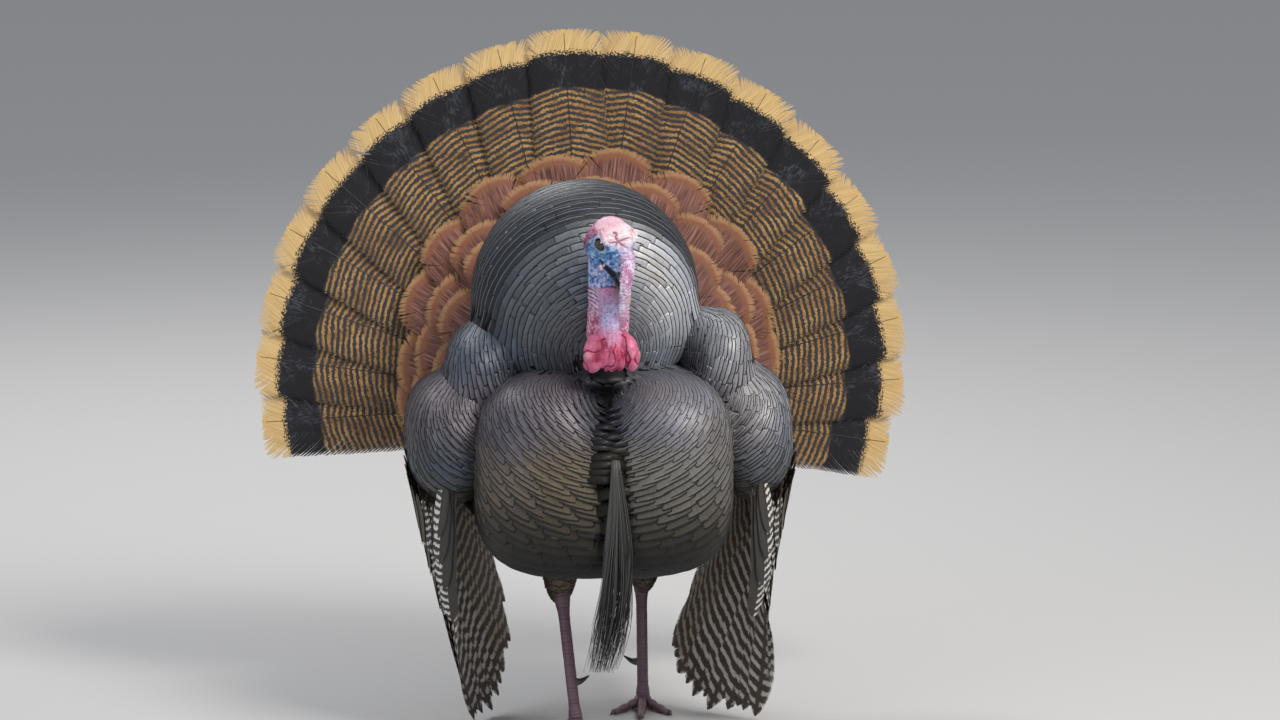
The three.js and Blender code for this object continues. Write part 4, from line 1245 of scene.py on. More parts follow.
def head_colours(p, z, rise):
    """Colour of the skin of head and neck at each point, with painted highlights on raised skin and painted shade in
    its hollows and creases.
    """
    broad, fine, grain = noise(p, 10, 31), noise(p, 3.4, 32), noise(p, 1.7, 33)
    dots = dimples(p, 3.6, 34, 0.27)
    # Blue mottled with ice blue by noise, and paler on raised skin as painted highlight; lower down the lilac-white is
    # likewise partly painted highlight.
    c = tinted(BLUE, ICE, smooth(fine + broad * 0.5 + grain * 0.8 + 0.4 * rise, -0.2, 0.7) * 0.85)
    c = tinted(c, (0.030, 0.040, 0.10), smooth(-fine - grain * 0.7, 0.35, 0.8) * 0.7)
    low = smooth(JAW + 30 - p[:, 2], 0, 18)
    c = tinted(c, (0.60, 0.56, 0.80), smooth(fine + 0.6 * rise + grain + 0.6, 0.0, 0.9) * low * 0.85)
    c = tinted(c, (0.040, 0.050, 0.13), dots * low * 0.8)
    around_eye = np.exp(-((z["eye"] / 11.5) ** 4))
    c = tinted(c, (0.115, 0.215, 0.33), around_eye * 0.85)
    c = tinted(c, (0.42, 0.50, 0.62), z["lid"] * 0.75)
    nape = tinted(ROSE, PLUM, smooth(broad + fine, -0.3, 0.5))
    c = tinted(c, nape, z["nape"] * smooth(broad * 0.6 + z["nape"], 0.3, 0.9))
    # Painted highlight: the crown paler on raised skin.
    crown = tinted(WHITE, (0.88, 0.82, 0.85), smooth(rise + 0.5 * fine, 0.0, 0.8))
    # Rose by noise, and in the hollows partly as painted shade.
    crown = tinted(crown, ROSE, smooth(broad * 0.6 - rise * 0.5 + 0.1, 0.1, 0.7) * 0.35)
    crown = tinted(crown, (0.62, 0.30, 0.40), smooth(-z["ahead"] - 0.3 * z["left"], 2, 12) * 0.6)
    crown = tinted(crown, ICE, bell(z["up"] - 13, 6.0) * smooth(z["ahead"], 8, 18) * 0.7)
    # Painted shade in the crown's creases.
    crown = tinted(crown, (0.24, 0.08, 0.14), z["crease"] * 0.9)
    c = tinted(c, crown, z["crown"])
    lilac = smooth(-p[:, 2], -550, -520)
    throat = tinted((0.56, 0.25, 0.40), LILAC, lilac)
    throat = tinted(throat, (0.50, 0.58, 0.84), smooth(broad + fine, -0.1, 0.7) * 0.8 * lilac)
    # Darker purple by noise, and in low skin partly as painted shade.
    throat = tinted(throat, (0.40, 0.10, 0.24), smooth(fine + grain - 0.3 * rise, 0.2, 0.9) * 0.7)
    throat = tinted(throat, (0.66, 0.24, 0.40), smooth(-p[:, 2], -508, -490) * 0.8)
    sides = tinted(ROSE, MAGENTA, smooth(-p[:, 2], -540, -500) * 0.7)
    # Painted highlight: pink-white on the raised beads.
    sides = tinted(sides, (0.80, 0.50, 0.62), smooth(rise + 0.4 * fine, 0.3, 1.3) * 0.75)
    icy = smooth(p[:, 2], 500, 545) + 0.8 * smooth(noise(p, 7, 35), 0.40, 0.6)
    # Blue-white on the raised striae: partly their own colour, partly painted highlight.
    sides = tinted(sides, ICE, icy * smooth(rise, -0.3, 0.5) * 0.8)
    # Painted shade: plum in the hollows between beads.
    sides = tinted(sides, PLUM, smooth(-rise, 0.0, 0.6) * 0.6)
    neck = tinted(throat, sides, z["side"])
    neck = tinted(neck, (0.06, 0.03, 0.08), dots * 0.85)
    neck = tinted(neck, (0.26, 0.08, 0.13), z["back"] * 0.6)
    c = tinted(c, neck, z["neck"])
    # Painted shade along the crease between cheek and throat.
    c = tinted(c, (0.10, 0.03, 0.09), z["jaw"] * 0.85)
    c = tinted(c, (0.020, 0.018, 0.030), z["opening"])
    # Painted shade in the groove of the mouth's corner.
    c = tinted(c, (0.022, 0.026, 0.036), z["gape"] * 1.3)
    knob = np.linalg.norm(np.stack([z["ahead"] - KNOB[0], np.abs(z["left"]) - KNOB[1], z["up"] - KNOB[2]], -1), axis=1)
    c = tinted(c, (0.66, 0.46, 0.55), smooth(-knob, -5.2, -3.4) * 0.9)
    # Painted shade: darker purple in the snood's hollows.
    snood = tinted((0.56, 0.38, 0.52), (0.34, 0.14, 0.28), smooth(-rise, 0.2, 0.9) * 0.7)
    # Pale lilac-white by noise, and on raised skin as painted highlight.
    snood = tinted(snood, (0.72, 0.72, 0.90), smooth(rise + 0.8 * broad + 0.7 * grain, 0.1, 1.1) * 0.8)
    # Painted shade: more purple again in the low skin.
    snood = tinted(snood, (0.42, 0.14, 0.30), smooth(-rise - grain, 0.1, 1.0) * 0.7)
    snood = tinted(snood, LILAC, (1 - smooth(z["snood_share"], 0.1, 0.45)) * 0.5)
    snood = tinted(snood, ROSE, smooth(z["snood_share"], 0.55, 0.95) * 0.35)
    c = tinted(c, snood, z["snood"])
    # Painted highlight: lighter pink on the raised lumps of the caruncles.
    flesh = tinted((0.62, 0.135, 0.255), (0.84, 0.42, 0.52), smooth(rise + 0.4 * fine, 0.1, 1.5) * 0.7)
    # Painted shade: dark crimson in their creases.
    flesh = tinted(flesh, CRIMSON, smooth(-rise, 0.0, 1.0))
    c = tinted(c, flesh, z["caruncle"] * (1 - z["snood"]))
    return np.clip(c * (1 + 0.12 * grain[:, None]), 0, 1)


def remeshed(parts, voxel, rounds):
    """The union of closed shapes as one even mesh: a voxel remesh, then rounds of smoothing."""
    points, faces = joined(parts)
    source = new_object("melt", points, faces, [])
    remesh = source.modifiers.new("melt", "REMESH")
    remesh.mode = "VOXEL"
    remesh.voxel_size = voxel * MM
    relax = source.modifiers.new("relax", "SMOOTH")
    relax.factor = 0.5
    relax.iterations = rounds
    done = source.evaluated_get(bpy.context.evaluated_depsgraph_get()).to_mesh()
    p = np.empty(len(done.vertices) * 3, np.float32)
    n = np.empty(len(done.vertices) * 3, np.float32)
    done.vertices.foreach_get("co", p)
    done.vertex_normals.foreach_get("vector", n)
    corners = np.empty(len(done.loops), np.int32)
    sizes = np.empty(len(done.polygons), np.int32)
    done.loops.foreach_get("vertex_index", corners)
    done.polygons.foreach_get("loop_total", sizes)
    bpy.data.objects.remove(source, do_unlink=True)
    if len(sizes) == 0:
        raise RuntimeError("the remesh left nothing")
    return p.reshape(-1, 3) / MM - SHIFT, (corners, sizes), n.reshape(-1, 3)


def toe_direction(leg, angle):
    """Way a toe points over the floor, at that angle in degrees from the foot's own turn."""
    a = math.radians(angle + leg["turn"])
    return np.array([math.sin(a), -math.cos(a), 0.0])


def leg_surface(side):
    """Hock, shank and toes with scutes in front and small scales behind. Gives points, faces and tint, painted lighter
    on raised scales and darker in the grooves between.
    """
    leg = LEGS[side]
    hock, ankle = np.array(leg["hock"], float), np.array(leg["ankle"], float)
    t = np.linspace(-0.12, 1.02, 190)
    path = hock + (ankle - hock) * t[:, None]
    radius = 7.0 + 3.4 * bell(t, 0.10) + 1.8 * bell(t - 1, 0.06)
    parts = [(tube(path, radius * 0.92, radius * 1.06, [1, 0, 0], 40), 4.6, hock, ankle)]
    for angle, length in TOES:
        out = toe_direction(leg, angle)
        s = np.linspace(0, 1, 110)
        heights = np.interp(s, [0, 0.26, 0.51, 0.76, 0.88, 1], [11, 7.2, 5.5, 4.5, 3.8, 3.4])
        toe = ankle * [1, 1, 0] + out * (length * (0.04 + 0.84 * s))[:, None] + np.array([0, 0, 1.0]) * heights[:, None]
        size = mix(5.9, 3.6, s) + 0.6 * np.cos(s * 6 * np.pi)
        limb = tube(toe, size, np.minimum(size, heights - 0.1), np.cross(out, [0, 0, 1]), 30)
        parts.append((limb, 3.2, toe[0], toe[-1]))
    pad = egg(np.array([ankle[0], ankle[1], 9.0]), [10.5, 12.0, 8.6])
    parts.append((pad, 3.0, ankle, ankle + [0, -10, 0]))
    made = []
    for (p, faces), pitch, start, end in parts:
        along = unit(end - start)
        run = (p - start) @ along
        axis = start + along * run[:, None]
        out = unit(p - axis)
        fore = out @ (np.array([0, -1.0, 0]) if abs(along[2]) > 0.5 else np.array([0, 0, 1.0]))
        scute = (run / pitch) % 1.0
        plate = smooth(scute, 0.0, 0.16) * (1 - 0.5 * scute)
        pebble = np.sqrt(np.maximum(0, 1 - (warts(p, 2.6, 3) / 0.6) ** 2))
        front = smooth(fore, 0.0, 0.35)
        rise = mix(0.55 * pebble, 0.75 * plate, front)
        floor = smooth(p[:, 2], 0.0, 1.2)
        p = p + out * ((rise - 0.2) * floor)[:, None]
        p[:, 2] = np.maximum(p[:, 2], 0.15)
        # Painted light: each scale's height sets its brightness, so tops are lit and grooves shaded.
        shade = np.clip(0.45 + 0.75 * rise / 0.6, 0.3, 1.15) * (1 + 0.15 * noise(p, 9, 2))
        tint = np.array(LEG) * shade[:, None]
        made.append((p, faces, tinted(tint, (0.16, 0.12, 0.13), smooth(noise(p, 22, 7), -0.1, 0.5) * 0.5)))
    return joined(made)


def build_skin(material):
    """One skin: the melted head and neck, the melted body under the feathers in near-black painted shade, and the legs.
    """
    p, faces, n = remeshed(head_parts(), 0.95, 3)
    zones = head_zones(p)
    rise = head_relief(p, zones)
    parts = [(p + n * rise[:, None], faces, head_colours(p, zones, rise))]
    body = [lobe_mesh(lobe, 4.5) for lobe in LOBES.values()]
    q, faces, _ = remeshed([(cut_at_fan(points), f) for points, f in body], 5.0, 2)
    # The body's skin is near black: painted shade where it shows between feathers.
    parts.append((q, faces, np.tile(PAINTED_SHADE_SKIN, (len(q), 1))))
    parts += [leg_surface(side) for side in SIDES]
    points, faces, tint = joined(parts)
    points[:, 2] = np.maximum(points[:, 2], 0.12)
    return new_object("skin", points, faces, [material], tint=tint)


def cut_at_fan(p):
    """Points moved square to the fan so that none is behind its face, or before it where they belong behind."""
    away = (p - HUB) @ FAN_BACK
    front = away.mean() < 0
    limit = np.where(front, np.minimum(away, -14.0), np.maximum(away, 22.0))
    return p + (limit - away)[:, None] * FAN_BACK


def skin_finish():
    """Bare skin: its tint, mottled finely, moist enough to shine a little."""
    f = Finish("skin", Subsurface_Weight=0.12, Subsurface_Scale=0.003, Specular_IOR_Level=0.45)
    fine = f.noise(f.place(), 900.0, 3.0)
    mottle = 0.8 + fine * 0.4
    f.bump(fine, 0.0003, 0.5)
    mottled = f.blend(1.0, f.attribute("tint"), f.vector(mottle, mottle, mottle), "MULTIPLY")
    return f.done(mottled, 0.40 + fine * 0.22)


# ---- Eyes, bill, claws, spurs, beard and bristles ----


def eye_finish():
    """Dark brown iris round a black pupil, under a wet cornea."""
    f = Finish("eye", Roughness=0.06, Coat_Weight=1.0, Coat_Roughness=0.03)
    ring = f.parts(f.attribute("vane"))[0]
    return f.done(f.ramp(ring, [(0.30, (0.002, 0.002, 0.002)), (0.42, (0.050, 0.018, 0.008)),
                                (0.62, (0.028, 0.010, 0.006)), (0.8, (0.006, 0.004, 0.004))]))


def build_eye(side, material):
    """Eyeball with a bulge in front. The attribute tells how far each point is from its front pole."""
    handed = 1 if side == "left" else -1
    t, g = ball_grid(26, 32)
    radius = EYE_RADIUS - 0.35 + 0.25 * bell(t, 0.45)
    rim = np.cos(g)[..., None] * UP + np.sin(g)[..., None] * AHEAD
    flat = np.cos(t)[..., None] * (LEFT * handed) + np.sin(t)[..., None] * rim
    middle = on_head(EYE_PLACE[0], EYE_PLACE[1] * handed, EYE_PLACE[2])
    points, faces = closed_rings(middle + radius[..., None] * flat)
    ring = np.concatenate([(t / np.pi * 2).ravel(), [0.0, 2.0]])
    return new_object("eye_" + side, points, faces, [material], vane=ring)


def bill_finish():
    """Horn: dusky at the root and yellow-grey towards the tip, streaked along it."""
    f = Finish("bill", Specular_IOR_Level=0.5)
    streak = f.noise(f.place(), 260.0, 2.0)
    f.bump(streak, 0.0003, 0.4)
    return f.done(f.ramp(f.parts(f.attribute("vane"))[0] + streak * 0.16 - 0.08, [
        (0.0, (0.05, 0.05, 0.065)), (0.42, (0.10, 0.085, 0.075)), (0.62, (0.42, 0.34, 0.20)),
        (0.95, (0.66, 0.56, 0.33))]), 0.30 + streak * 0.2)


def bill_half(name, knots, deep, wide, material):
    """Tapered horn: round above, with a hooked tip. Its vane value is the share of the way to the tip."""
    t = np.linspace(0, 1, 36)
    points, faces = tube(curve_points(knots, t), mix(wide, 1.9, t**1.3), mix(deep, 1.1, t), LEFT, 24)
    return new_object(name, points, faces, [material], vane=np.concatenate([np.repeat(t, 24), [0, 1]]))


def build_spikes(name, spikes, material):
    """Tapered horn pieces along curved paths: (knots, root radius, tip radius)."""
    t = np.linspace(0, 1, 18)
    parts = []
    for knots, thick, fine in spikes:
        size = mix(thick, fine, t)
        spike = tube(curve_points(knots, t), size, size * 1.1, [0.3, 0.9, 0.2], 14)
        parts.append((*spike, np.concatenate([np.repeat(t, 14), [0, 1]])))
    points, faces, run = joined(parts)
    points[:, 2] = np.maximum(points[:, 2], 0.15)
    return new_object(name, points, faces, [material], vane=run)


def claw_paths(side):
    """Curve and thickness of each claw of a foot."""
    leg = LEGS[side]
    paths = []
    for angle, length in TOES:
        out = toe_direction(leg, angle)
        foot = np.array([leg["ankle"][0], leg["ankle"][1], 0.0])
        reach = [0.84, 0.93, 0.985]
        paths.append(([foot + out * length * r + [0, 0, z] for r, z in zip(reach, (4.4, 4.2, 1.6))], 2.7, 0.7))
    return paths


def spur_path(side):
    """Curve and thickness of the spur, on the inside of the shank."""
    leg = LEGS[side]
    root = mix(np.array(leg["ankle"], float), np.array(leg["hock"], float), 0.28)
    inward = leg["inward"]
    knots = [root + [inward * 3, 3, 0], root + [inward * 12, 9.5, 0.2], root + [inward * 21.5, 14.3, 5.5]]
    return [(knots, 5.4, 0.7)]


def horn_finish(name, dark, pale):
    """Horn of claw or spur, paler towards the root."""
    f = Finish(name, Specular_IOR_Level=0.5)
    run = f.parts(f.attribute("vane"))[0]
    streak = f.noise(f.place(), 300.0, 2.0)
    return f.done(f.blend((run + streak * 0.3).rise(0.1, 0.8), pale, dark), 0.3 + streak * 0.15)


BEARD_ROOT = np.array([7.0, -254.0, 350.0])
BEARD_DROP = 256.0
BEARD_COLUMNS = 26  # bristles side by side on the bake's map


def build_beard(random, material, count=520):
    """Coarse bristles from one root, spreading and sweeping a little to the bird's right."""
    t = np.linspace(0, 1, 12)
    share = random.random(count) ** 0.42
    around = random.random(count) * 2 * np.pi
    length = mix(1.0, 0.45, random.random(count) ** 1.7)
    stray = random.normal(0, 3.2, count)
    parts = []
    for i in range(count):
        run = t * length[i]
        wide = np.interp(run, [0, 0.4, 0.75, 1], [4.0, 16.0, 20.5, 15.0]) * share[i]
        wave = 2.6 * np.sin(run * 9 + around[i] * 3) * run
        x = 5 * np.sin(run * 3.1) - 17 * run**3 + wide * math.cos(around[i]) + wave + stray[i] * run**2
        y = -14 * run + 26 * run**2 + wide * 0.39 * math.sin(around[i])
        path = BEARD_ROOT + np.stack([x, y, -BEARD_DROP * 0.985 * run], -1)
        radius = mix(0.62, 0.16, t**1.4)
        p, faces = tube(path, radius, radius * 0.75, [0.7, -0.7, 0], 5)
        parts.append((p, faces, np.full(len(p), random.random())))
    points, faces, shade = joined(parts)
    column, row = np.arange(count) % BEARD_COLUMNS, np.arange(count) // BEARD_COLUMNS
    bake = np.repeat((np.stack([column, row], -1) + 0.5) / BEARD_COLUMNS, len(points) // count, axis=0)
    bake = bake + PATCH * (points[:, [0, 2]] - points[:, [0, 2]].mean(0)) / BEARD_DROP
    return new_object("beard", points, faces, [material], bake, vane=shade)


def bristle_finish(name, dark, light):
    """Coarse hair, each strand of a shade between two."""
    f = Finish(name, Roughness=0.42, Specular_IOR_Level=0.45)
    return f.done(f.blend(f.parts(f.attribute("vane"))[0].rise(0.2, 1.0), dark, light))


def bristle_root(random):
    """Root and direction of one bristle: on the back and sides of the neck, or behind the eyes."""
    if random.random() < 0.45:
        turn = random.uniform(-0.35, math.pi + 0.35)
        ahead = random.uniform(-15, 4)
        wide, high = np.interp(ahead, [-15, -7, 3], [18, 29, 33]), np.interp(ahead, [-15, -7, 3], [13, 25.5, 28.8])
        root = on_head(ahead, wide * math.cos(turn), high * math.sin(turn) - 4.0)
        out = unit(LEFT * math.cos(turn) + UP * math.sin(turn))
        return root, unit(out * 0.7 - AHEAD * 0.6 + random.normal(0, 0.2, 3)), -AHEAD
    share = random.uniform(0.0, 0.62)
    turn = random.normal(math.pi / 2, 1.05)
    base = curve_points(NECK_PATH, np.array([share, share + 0.02]))
    along = unit(base[1] - base[0])
    side = unit(np.cross(along, [0.0, -1.0, 0.0]))
    back = np.cross(side, along)
    back = back * np.sign(back[1])
    out = side * math.cos(turn) + back * math.sin(turn)
    root = base[0] + out * (mix(21.0, 25.0, share) - 1.0)
    return root, unit(out * 0.75 + along * 0.8 + random.normal(0, 0.2, 3)), along


def build_bristles(random, material, count=760):
    """Sparse dark hair-like feathers on the nape and the back and sides of the neck."""
    parts = []
    t = np.linspace(0, 1, 5)
    for _ in range(count):
        root, lie, droop = bristle_root(random)
        length = random.uniform(2.5, 6.0)
        path = root + lie * (length * t)[:, None] + droop * (1.2 * t**2)[:, None]
        p, faces = tube(path, mix(0.28, 0.08, t), mix(0.28, 0.08, t), [0.2, 0.3, 0.9], 3)
        parts.append((p, faces, np.full(len(p), random.random())))
    points, faces, shade = joined(parts)
    return new_object("bristles", points, faces, [material], vane=shade)


# ---- The coat ----

SILVER = np.array([0.30, 0.31, 0.34])
VIOLET = np.array([0.088, 0.080, 0.098])
BRONZE = np.array([0.120, 0.096, 0.062])
OLIVE = np.array([0.062, 0.054, 0.030])
INK = np.array([0.016, 0.014, 0.014])
BLUE_GREY = np.array([0.110, 0.130, 0.165])
COPPER = np.array([0.30, 0.155, 0.075])


def graded(share, *colours):
    """Colours in even steps, blended by share from 0 to 1."""
    stops = np.linspace(0, 1, len(colours))
    return np.stack([np.interp(share, stops, [c[k] for c in colours]) for k in range(3)], -1)


def varied(colours, p, random, amount=0.07):
    """Each feather's colour a little lighter or darker than the next, with broad warm and cool patches."""
    value = 1 + random.normal(0, amount, len(p)) + 0.20 * noise(p, 38, 51)
    warm = noise(p, 55, 53)[:, None] * np.array([0.10, 0.01, -0.10])
    return np.clip(colours * np.clip(value, 0.4, 1.9)[:, None] * (1 + warm), 0.003, 0.9)


def painted_highlight_share(p):
    """Share of the pale, silvery painted highlight on the bird's left, the lit side."""
    return smooth(p[:, 0], -50, 130)


def breast_tint(p, random):
    """Violet above, bronze, olive, then ink below, with a painted silvery highlight on the left, painted violet shade
    on the right, and painted shade in the cleft.
    """
    share = np.clip((430 - p[:, 2]) / 190, 0, 1)
    colours = graded(share, VIOLET * 1.3, VIOLET * 1.2, BRONZE * 1.1, BRONZE * 0.75, OLIVE * 0.40, INK * 0.4)
    # Painted highlight: silver on the bird's left.
    colours = tinted(colours, SILVER, painted_highlight_share(p) * smooth(p[:, 2], 260, 380) * 0.42)
    # Painted shade: cooler violet on the bird's right.
    colours = tinted(colours, VIOLET * 1.3, smooth(-p[:, 0], 40, 130) * smooth(p[:, 2], 270, 400) * 0.6)
    # Painted shade: feathers darkened along the cleft.
    cleft = bell(p[:, 0], 12) * smooth(p[:, 2], 200, 250)
    return varied(colours * (1 - 0.8 * cleft[:, None]), p, random)


def mantle_tint(p, random):
    """Violet about the neck, then a disc that turns from blue-grey on the bird's right to a painted silvery highlight
    on its left, in a dark ring; olive low down.
    """
    near = np.linalg.norm((p - [6, -160, 462]) * [1, 0.25, 1], axis=1)
    out = np.linalg.norm((p - [2, 0, 484]) * [1, 0, 1], axis=1)
    # Painted highlight: the neck's violet and the disc's blue-grey turn silver towards the bird's left.
    left = smooth(p[:, 0], -60, 60)
    disc = tinted(BLUE_GREY * 0.85, SILVER * 1.5, left)
    colours = tinted(tinted(VIOLET, SILVER * 0.7, left), disc, smooth(near, 20, 80))
    ring = smooth(out, 102, 122)
    colours = tinted(colours, OLIVE * 1.8, smooth(-p[:, 2], -455, -400) * (1 - ring) * 0.6)
    return varied(tinted(colours, (0.014, 0.017, 0.024), ring), p, random)


def collar_tint(p, random):
    """The breast's colours in the shade of the caruncles."""
    return breast_tint(p, random) * 0.45


def wing_tint(p, random):
    """Upper wing and scapulars: violet grey above, then blue, olive at the bottom, with a painted silvery highlight on
    the left.
    """
    share = np.clip((455 - p[:, 2]) / 200, 0, 1)
    colours = graded(share, BLUE_GREY * 1.0, VIOLET * 1.5, VIOLET * 1.2, BLUE_GREY * 0.75, OLIVE * 1.2, INK * 1.3)
    # Painted highlight: silver on the bird's left.
    light = painted_highlight_share(p) * smooth(p[:, 2], 310, 400)
    return varied(tinted(colours, SILVER * 1.15, light * 0.65), p, random, 0.10)


def back_tint(p, random):
    """Olive low down, then ink, copper and bronze."""
    share = np.clip((p[:, 2] - 300) / 260, 0, 1)
    return varied(graded(share, OLIVE, INK * 1.5, COPPER * 0.5, BRONZE * 0.6), p, random, 0.12)


def thigh_tint(p, random):
    """Ink above and brown at the hock."""
    return varied(tinted(INK, (0.105, 0.075, 0.044), smooth(-p[:, 2], -225, -185)), p, random, 0.15)


def vent_tint(p, random):
    """Dull copper."""
    return varied(np.tile(COPPER * 0.55, (len(p), 1)), p, random, 0.15)


def neck_gap(p):
    """Distance from the neck's surface, above 0 outside it."""
    away, share = path_reach(p, NECK_PATH)
    return away - mix(21.0, 25.0, share)


def kept_roots(name, p):
    """True for the roots of a lobe's feathers outside the other lobes and the neck, off the fan and the cleft."""
    ok = neck_gap(p) > -1.0
    if name == "breast":
        # Feathers are left off the bottom of the cleft, where the near-black skin reads as painted shade.
        bare = np.where(p[:, 2] < 330, 5.5, 2.2)  # half width of the cleft's bottom
        ok &= (np.abs(p[:, 0]) > bare) | (p[:, 2] < 215) | (p[:, 1] > -150)
    for other, lobe in LOBES.items():
        if other != name:
            ok &= lobe.depth(p) > 0.955
    away = (p - HUB) @ FAN_BACK
    return ok & ((away > 26) if name == "vent" else (away < -16))


def both_sides(part, pole, *rest):
    """The same feathers on the bird's right and left. The pole given is the right one's."""
    x, y, z = pole
    return (f"{part}_right", (x, y, z), *rest), (f"{part}_left", (-x, y, z), *rest)


# For each piece: lobe, pole, row steps, widths, how fast they grow, raggedness, colours.
COAT = {
    "coat_breast": [("breast", (0.0, -0.58, 0.81), (2.6, 12.0), (9.0, 36.0), 2.0, 0.5, breast_tint)],
    "coat_mantle": [
        ("mantle", (0.14, -0.93, -0.36), (3.0, 10.0), (9.0, 40.0), 3.0, 0.5, mantle_tint),
        ("collar", (0.0, -0.8, 0.6), (2.6, 4.0), (7.0, 12.0), 1.5, 0.8, collar_tint),
    ],
    "coat_shoulders": [
        *both_sides("shoulder", (0.60, -0.65, 0.50), (3.4, 8.5), (8.0, 24.0), 2.0, 0.9, wing_tint),
        *both_sides("wrist", (0.10, -0.45, 0.90), (4.0, 7.5), (9.0, 17.0), 1.8, 0.9, wing_tint),
        *both_sides("scapulars", (0.93, -0.30, 0.20), (3.6, 7.5), (10.0, 26.0), 2.0, 0.6, wing_tint),
    ],
    "coat_back": [
        ("rump", (0.0, -1.0, 0.3), (7.0, 11.0), (18.0, 26.0), 1.2, 1.0, back_tint),
        ("trunk", (0.0, -0.9, 0.35), (8.0, 11.0), (20.0, 28.0), 1.2, 1.0, back_tint),
        *both_sides("thigh", (-0.3, -0.3, 0.9), (5.0, 6.0), (11.0, 12.0), 1.2, 1.2, thigh_tint),
        ("vent", (0.0, -0.6, 0.8), (7.0, 9.0), (18.0, 22.0), 1.2, 1.0, vent_tint),
    ],
}


def build_coat(piece_name, material, seed):
    """The small feathers of one part of the body, all in one piece, each lobe with its own part of the map."""
    patches = COAT[piece_name]
    parts = []
    for k, patch in enumerate(patches):
        points, faces, bake, vane, tint = body_feathers(*patch, seed + 7 * k)
        parts.append((points, faces, (bake % 1.0 * [0.98, 1.0] + [0.01 + k, 0.0]) / [len(patches), 1.0], vane, tint))
    points, faces, bake, vane, tint = joined(parts)
    return new_object(piece_name, points, faces, [material], bake, vane=vane, tint=tint)


# ---- Studio ----

CAMERA = {"azimuth": -4.0, "elevation": 9.0, "distance": 8.0, "lens": 187.5, "right": 52.8, "up": 422.0}
FLOOR_HALF = 60.0  # metres from the middle of the floor to its edge
LIGHTS = (  # name, place from the bird's middle in metres, watts, side in metres, colour
    ("key", (1.7, -1.8, 2.8), 112, 1.4, (1.0, 0.96, 0.90)),
    ("fill", (-2.6, -2.0, 1.2), 20, 1.8, (0.88, 0.94, 1.0)),
    ("rim", (-0.6, 2.4, 2.4), 60, 1.4, (1.0, 0.98, 0.95)),
)


def build_stage():
    """A pale floor and world, soft lights, and the camera at a gentle height before the bird."""
    floor_finish = Finish("floor", Roughness=0.9, Base_Color=(0.50, 0.50, 0.50, 1))
    mesh = bpy.data.meshes.new("floor")
    corners = [(x * FLOOR_HALF, y * FLOOR_HALF, 0) for x, y in ((-1, -1), (1, -1), (1, 1), (-1, 1))]
    mesh.from_pydata(corners, [], [(0, 1, 2, 3)])
    mesh.materials.append(floor_finish.material)
    floor = linked("floor", mesh)
    world = bpy.data.worlds.new("studio")
    world.use_nodes = True
    background = world.node_tree.nodes["Background"]
    background.inputs["Color"].default_value = (0.90, 0.93, 1.0, 1)
    background.inputs["Strength"].default_value = 0.45
    bpy.context.scene.world = world
    bpy.context.scene.view_settings.view_transform = "Standard"
    middle = (np.array([0, 0, 400.0]) + SHIFT) * MM
    for name, place, energy, size, tint in LIGHTS:
        light = bpy.data.lights.new(name, "AREA")
        light.energy = energy
        light.size = size
        light.color = tint
        lamp = linked(name, light)
        aim_at(lamp, np.array(place) + middle, middle)
    camera_data = bpy.data.cameras.new("camera")
    camera_data.lens = CAMERA["lens"]
    camera_data.sensor_width = 36.0
    camera_data.clip_end = 200.0
    camera = linked("camera", camera_data)
    azimuth, elevation = math.radians(CAMERA["azimuth"]), math.radians(CAMERA["elevation"])
    back = np.array([
        math.sin(azimuth) * math.cos(elevation), -math.cos(azimuth) * math.cos(elevation), math.sin(elevation)])
    right = unit(np.cross([0, 0, 1.0], back))
    up = np.cross(back, right)
    target = to_frame(np.zeros(3)) + (right * CAMERA["right"] + up * CAMERA["up"]) * MM
    aim_at(camera, target + back * CAMERA["distance"], target)
    bpy.context.scene.camera = camera


def aim_at(thing, place, target):
    """Put an object there, looking along its own -Z at the target, upright."""
    back = unit(np.asarray(place) - target)
    right = unit(np.cross([0.0, 0.0, 1.0], back))
    up = np.cross(back, right)
    matrix = np.eye(4)
    matrix[:3, 0], matrix[:3, 1], matrix[:3, 2], matrix[:3, 3] = right, up, back, place
    thing.matrix_world = mathutils.Matrix(matrix.tolist())


# ---- The add-on: settings, operators and panel ----


class TURKEY_PG_coat(bpy.types.PropertyGroup):
    """Settings of the coat of small feathers."""

    seed: bpy.props.IntProperty(name="Seed", description="Start of the coat's random order", default=11)


class TURKEY_PG_fan(bpy.types.PropertyGroup):
    """Settings of the long feathers."""

    seed: bpy.props.IntProperty(name="Seed", description="Start of the long feathers' random order", default=5)


class TURKEY_OT_stage(bpy.types.Operator):
    """Build the floor, the lights and the camera"""

    bl_idname = "turkey.stage"
    bl_label = "Stage"

    def execute(self, context):
        build_stage()
        return {"FINISHED"}


class TURKEY_OT_skin(bpy.types.Operator):
    """Build the skin of head, neck, body and legs"""

    bl_idname = "turkey.skin"
    bl_label = "Skin"

    def execute(self, context):
        piece = build_skin(skin_finish())
        pairs = ("breast", "scapulars", "shoulder", "thigh", "shank", "foot")
        nodes = [f"{part}_{side}" for part in pairs for side in SIDES]
        finish_piece(piece, "head_skin", "head", "neck", "snood", "caruncles", "mantle", "trunk", "vent", *nodes)
        return {"FINISHED"}


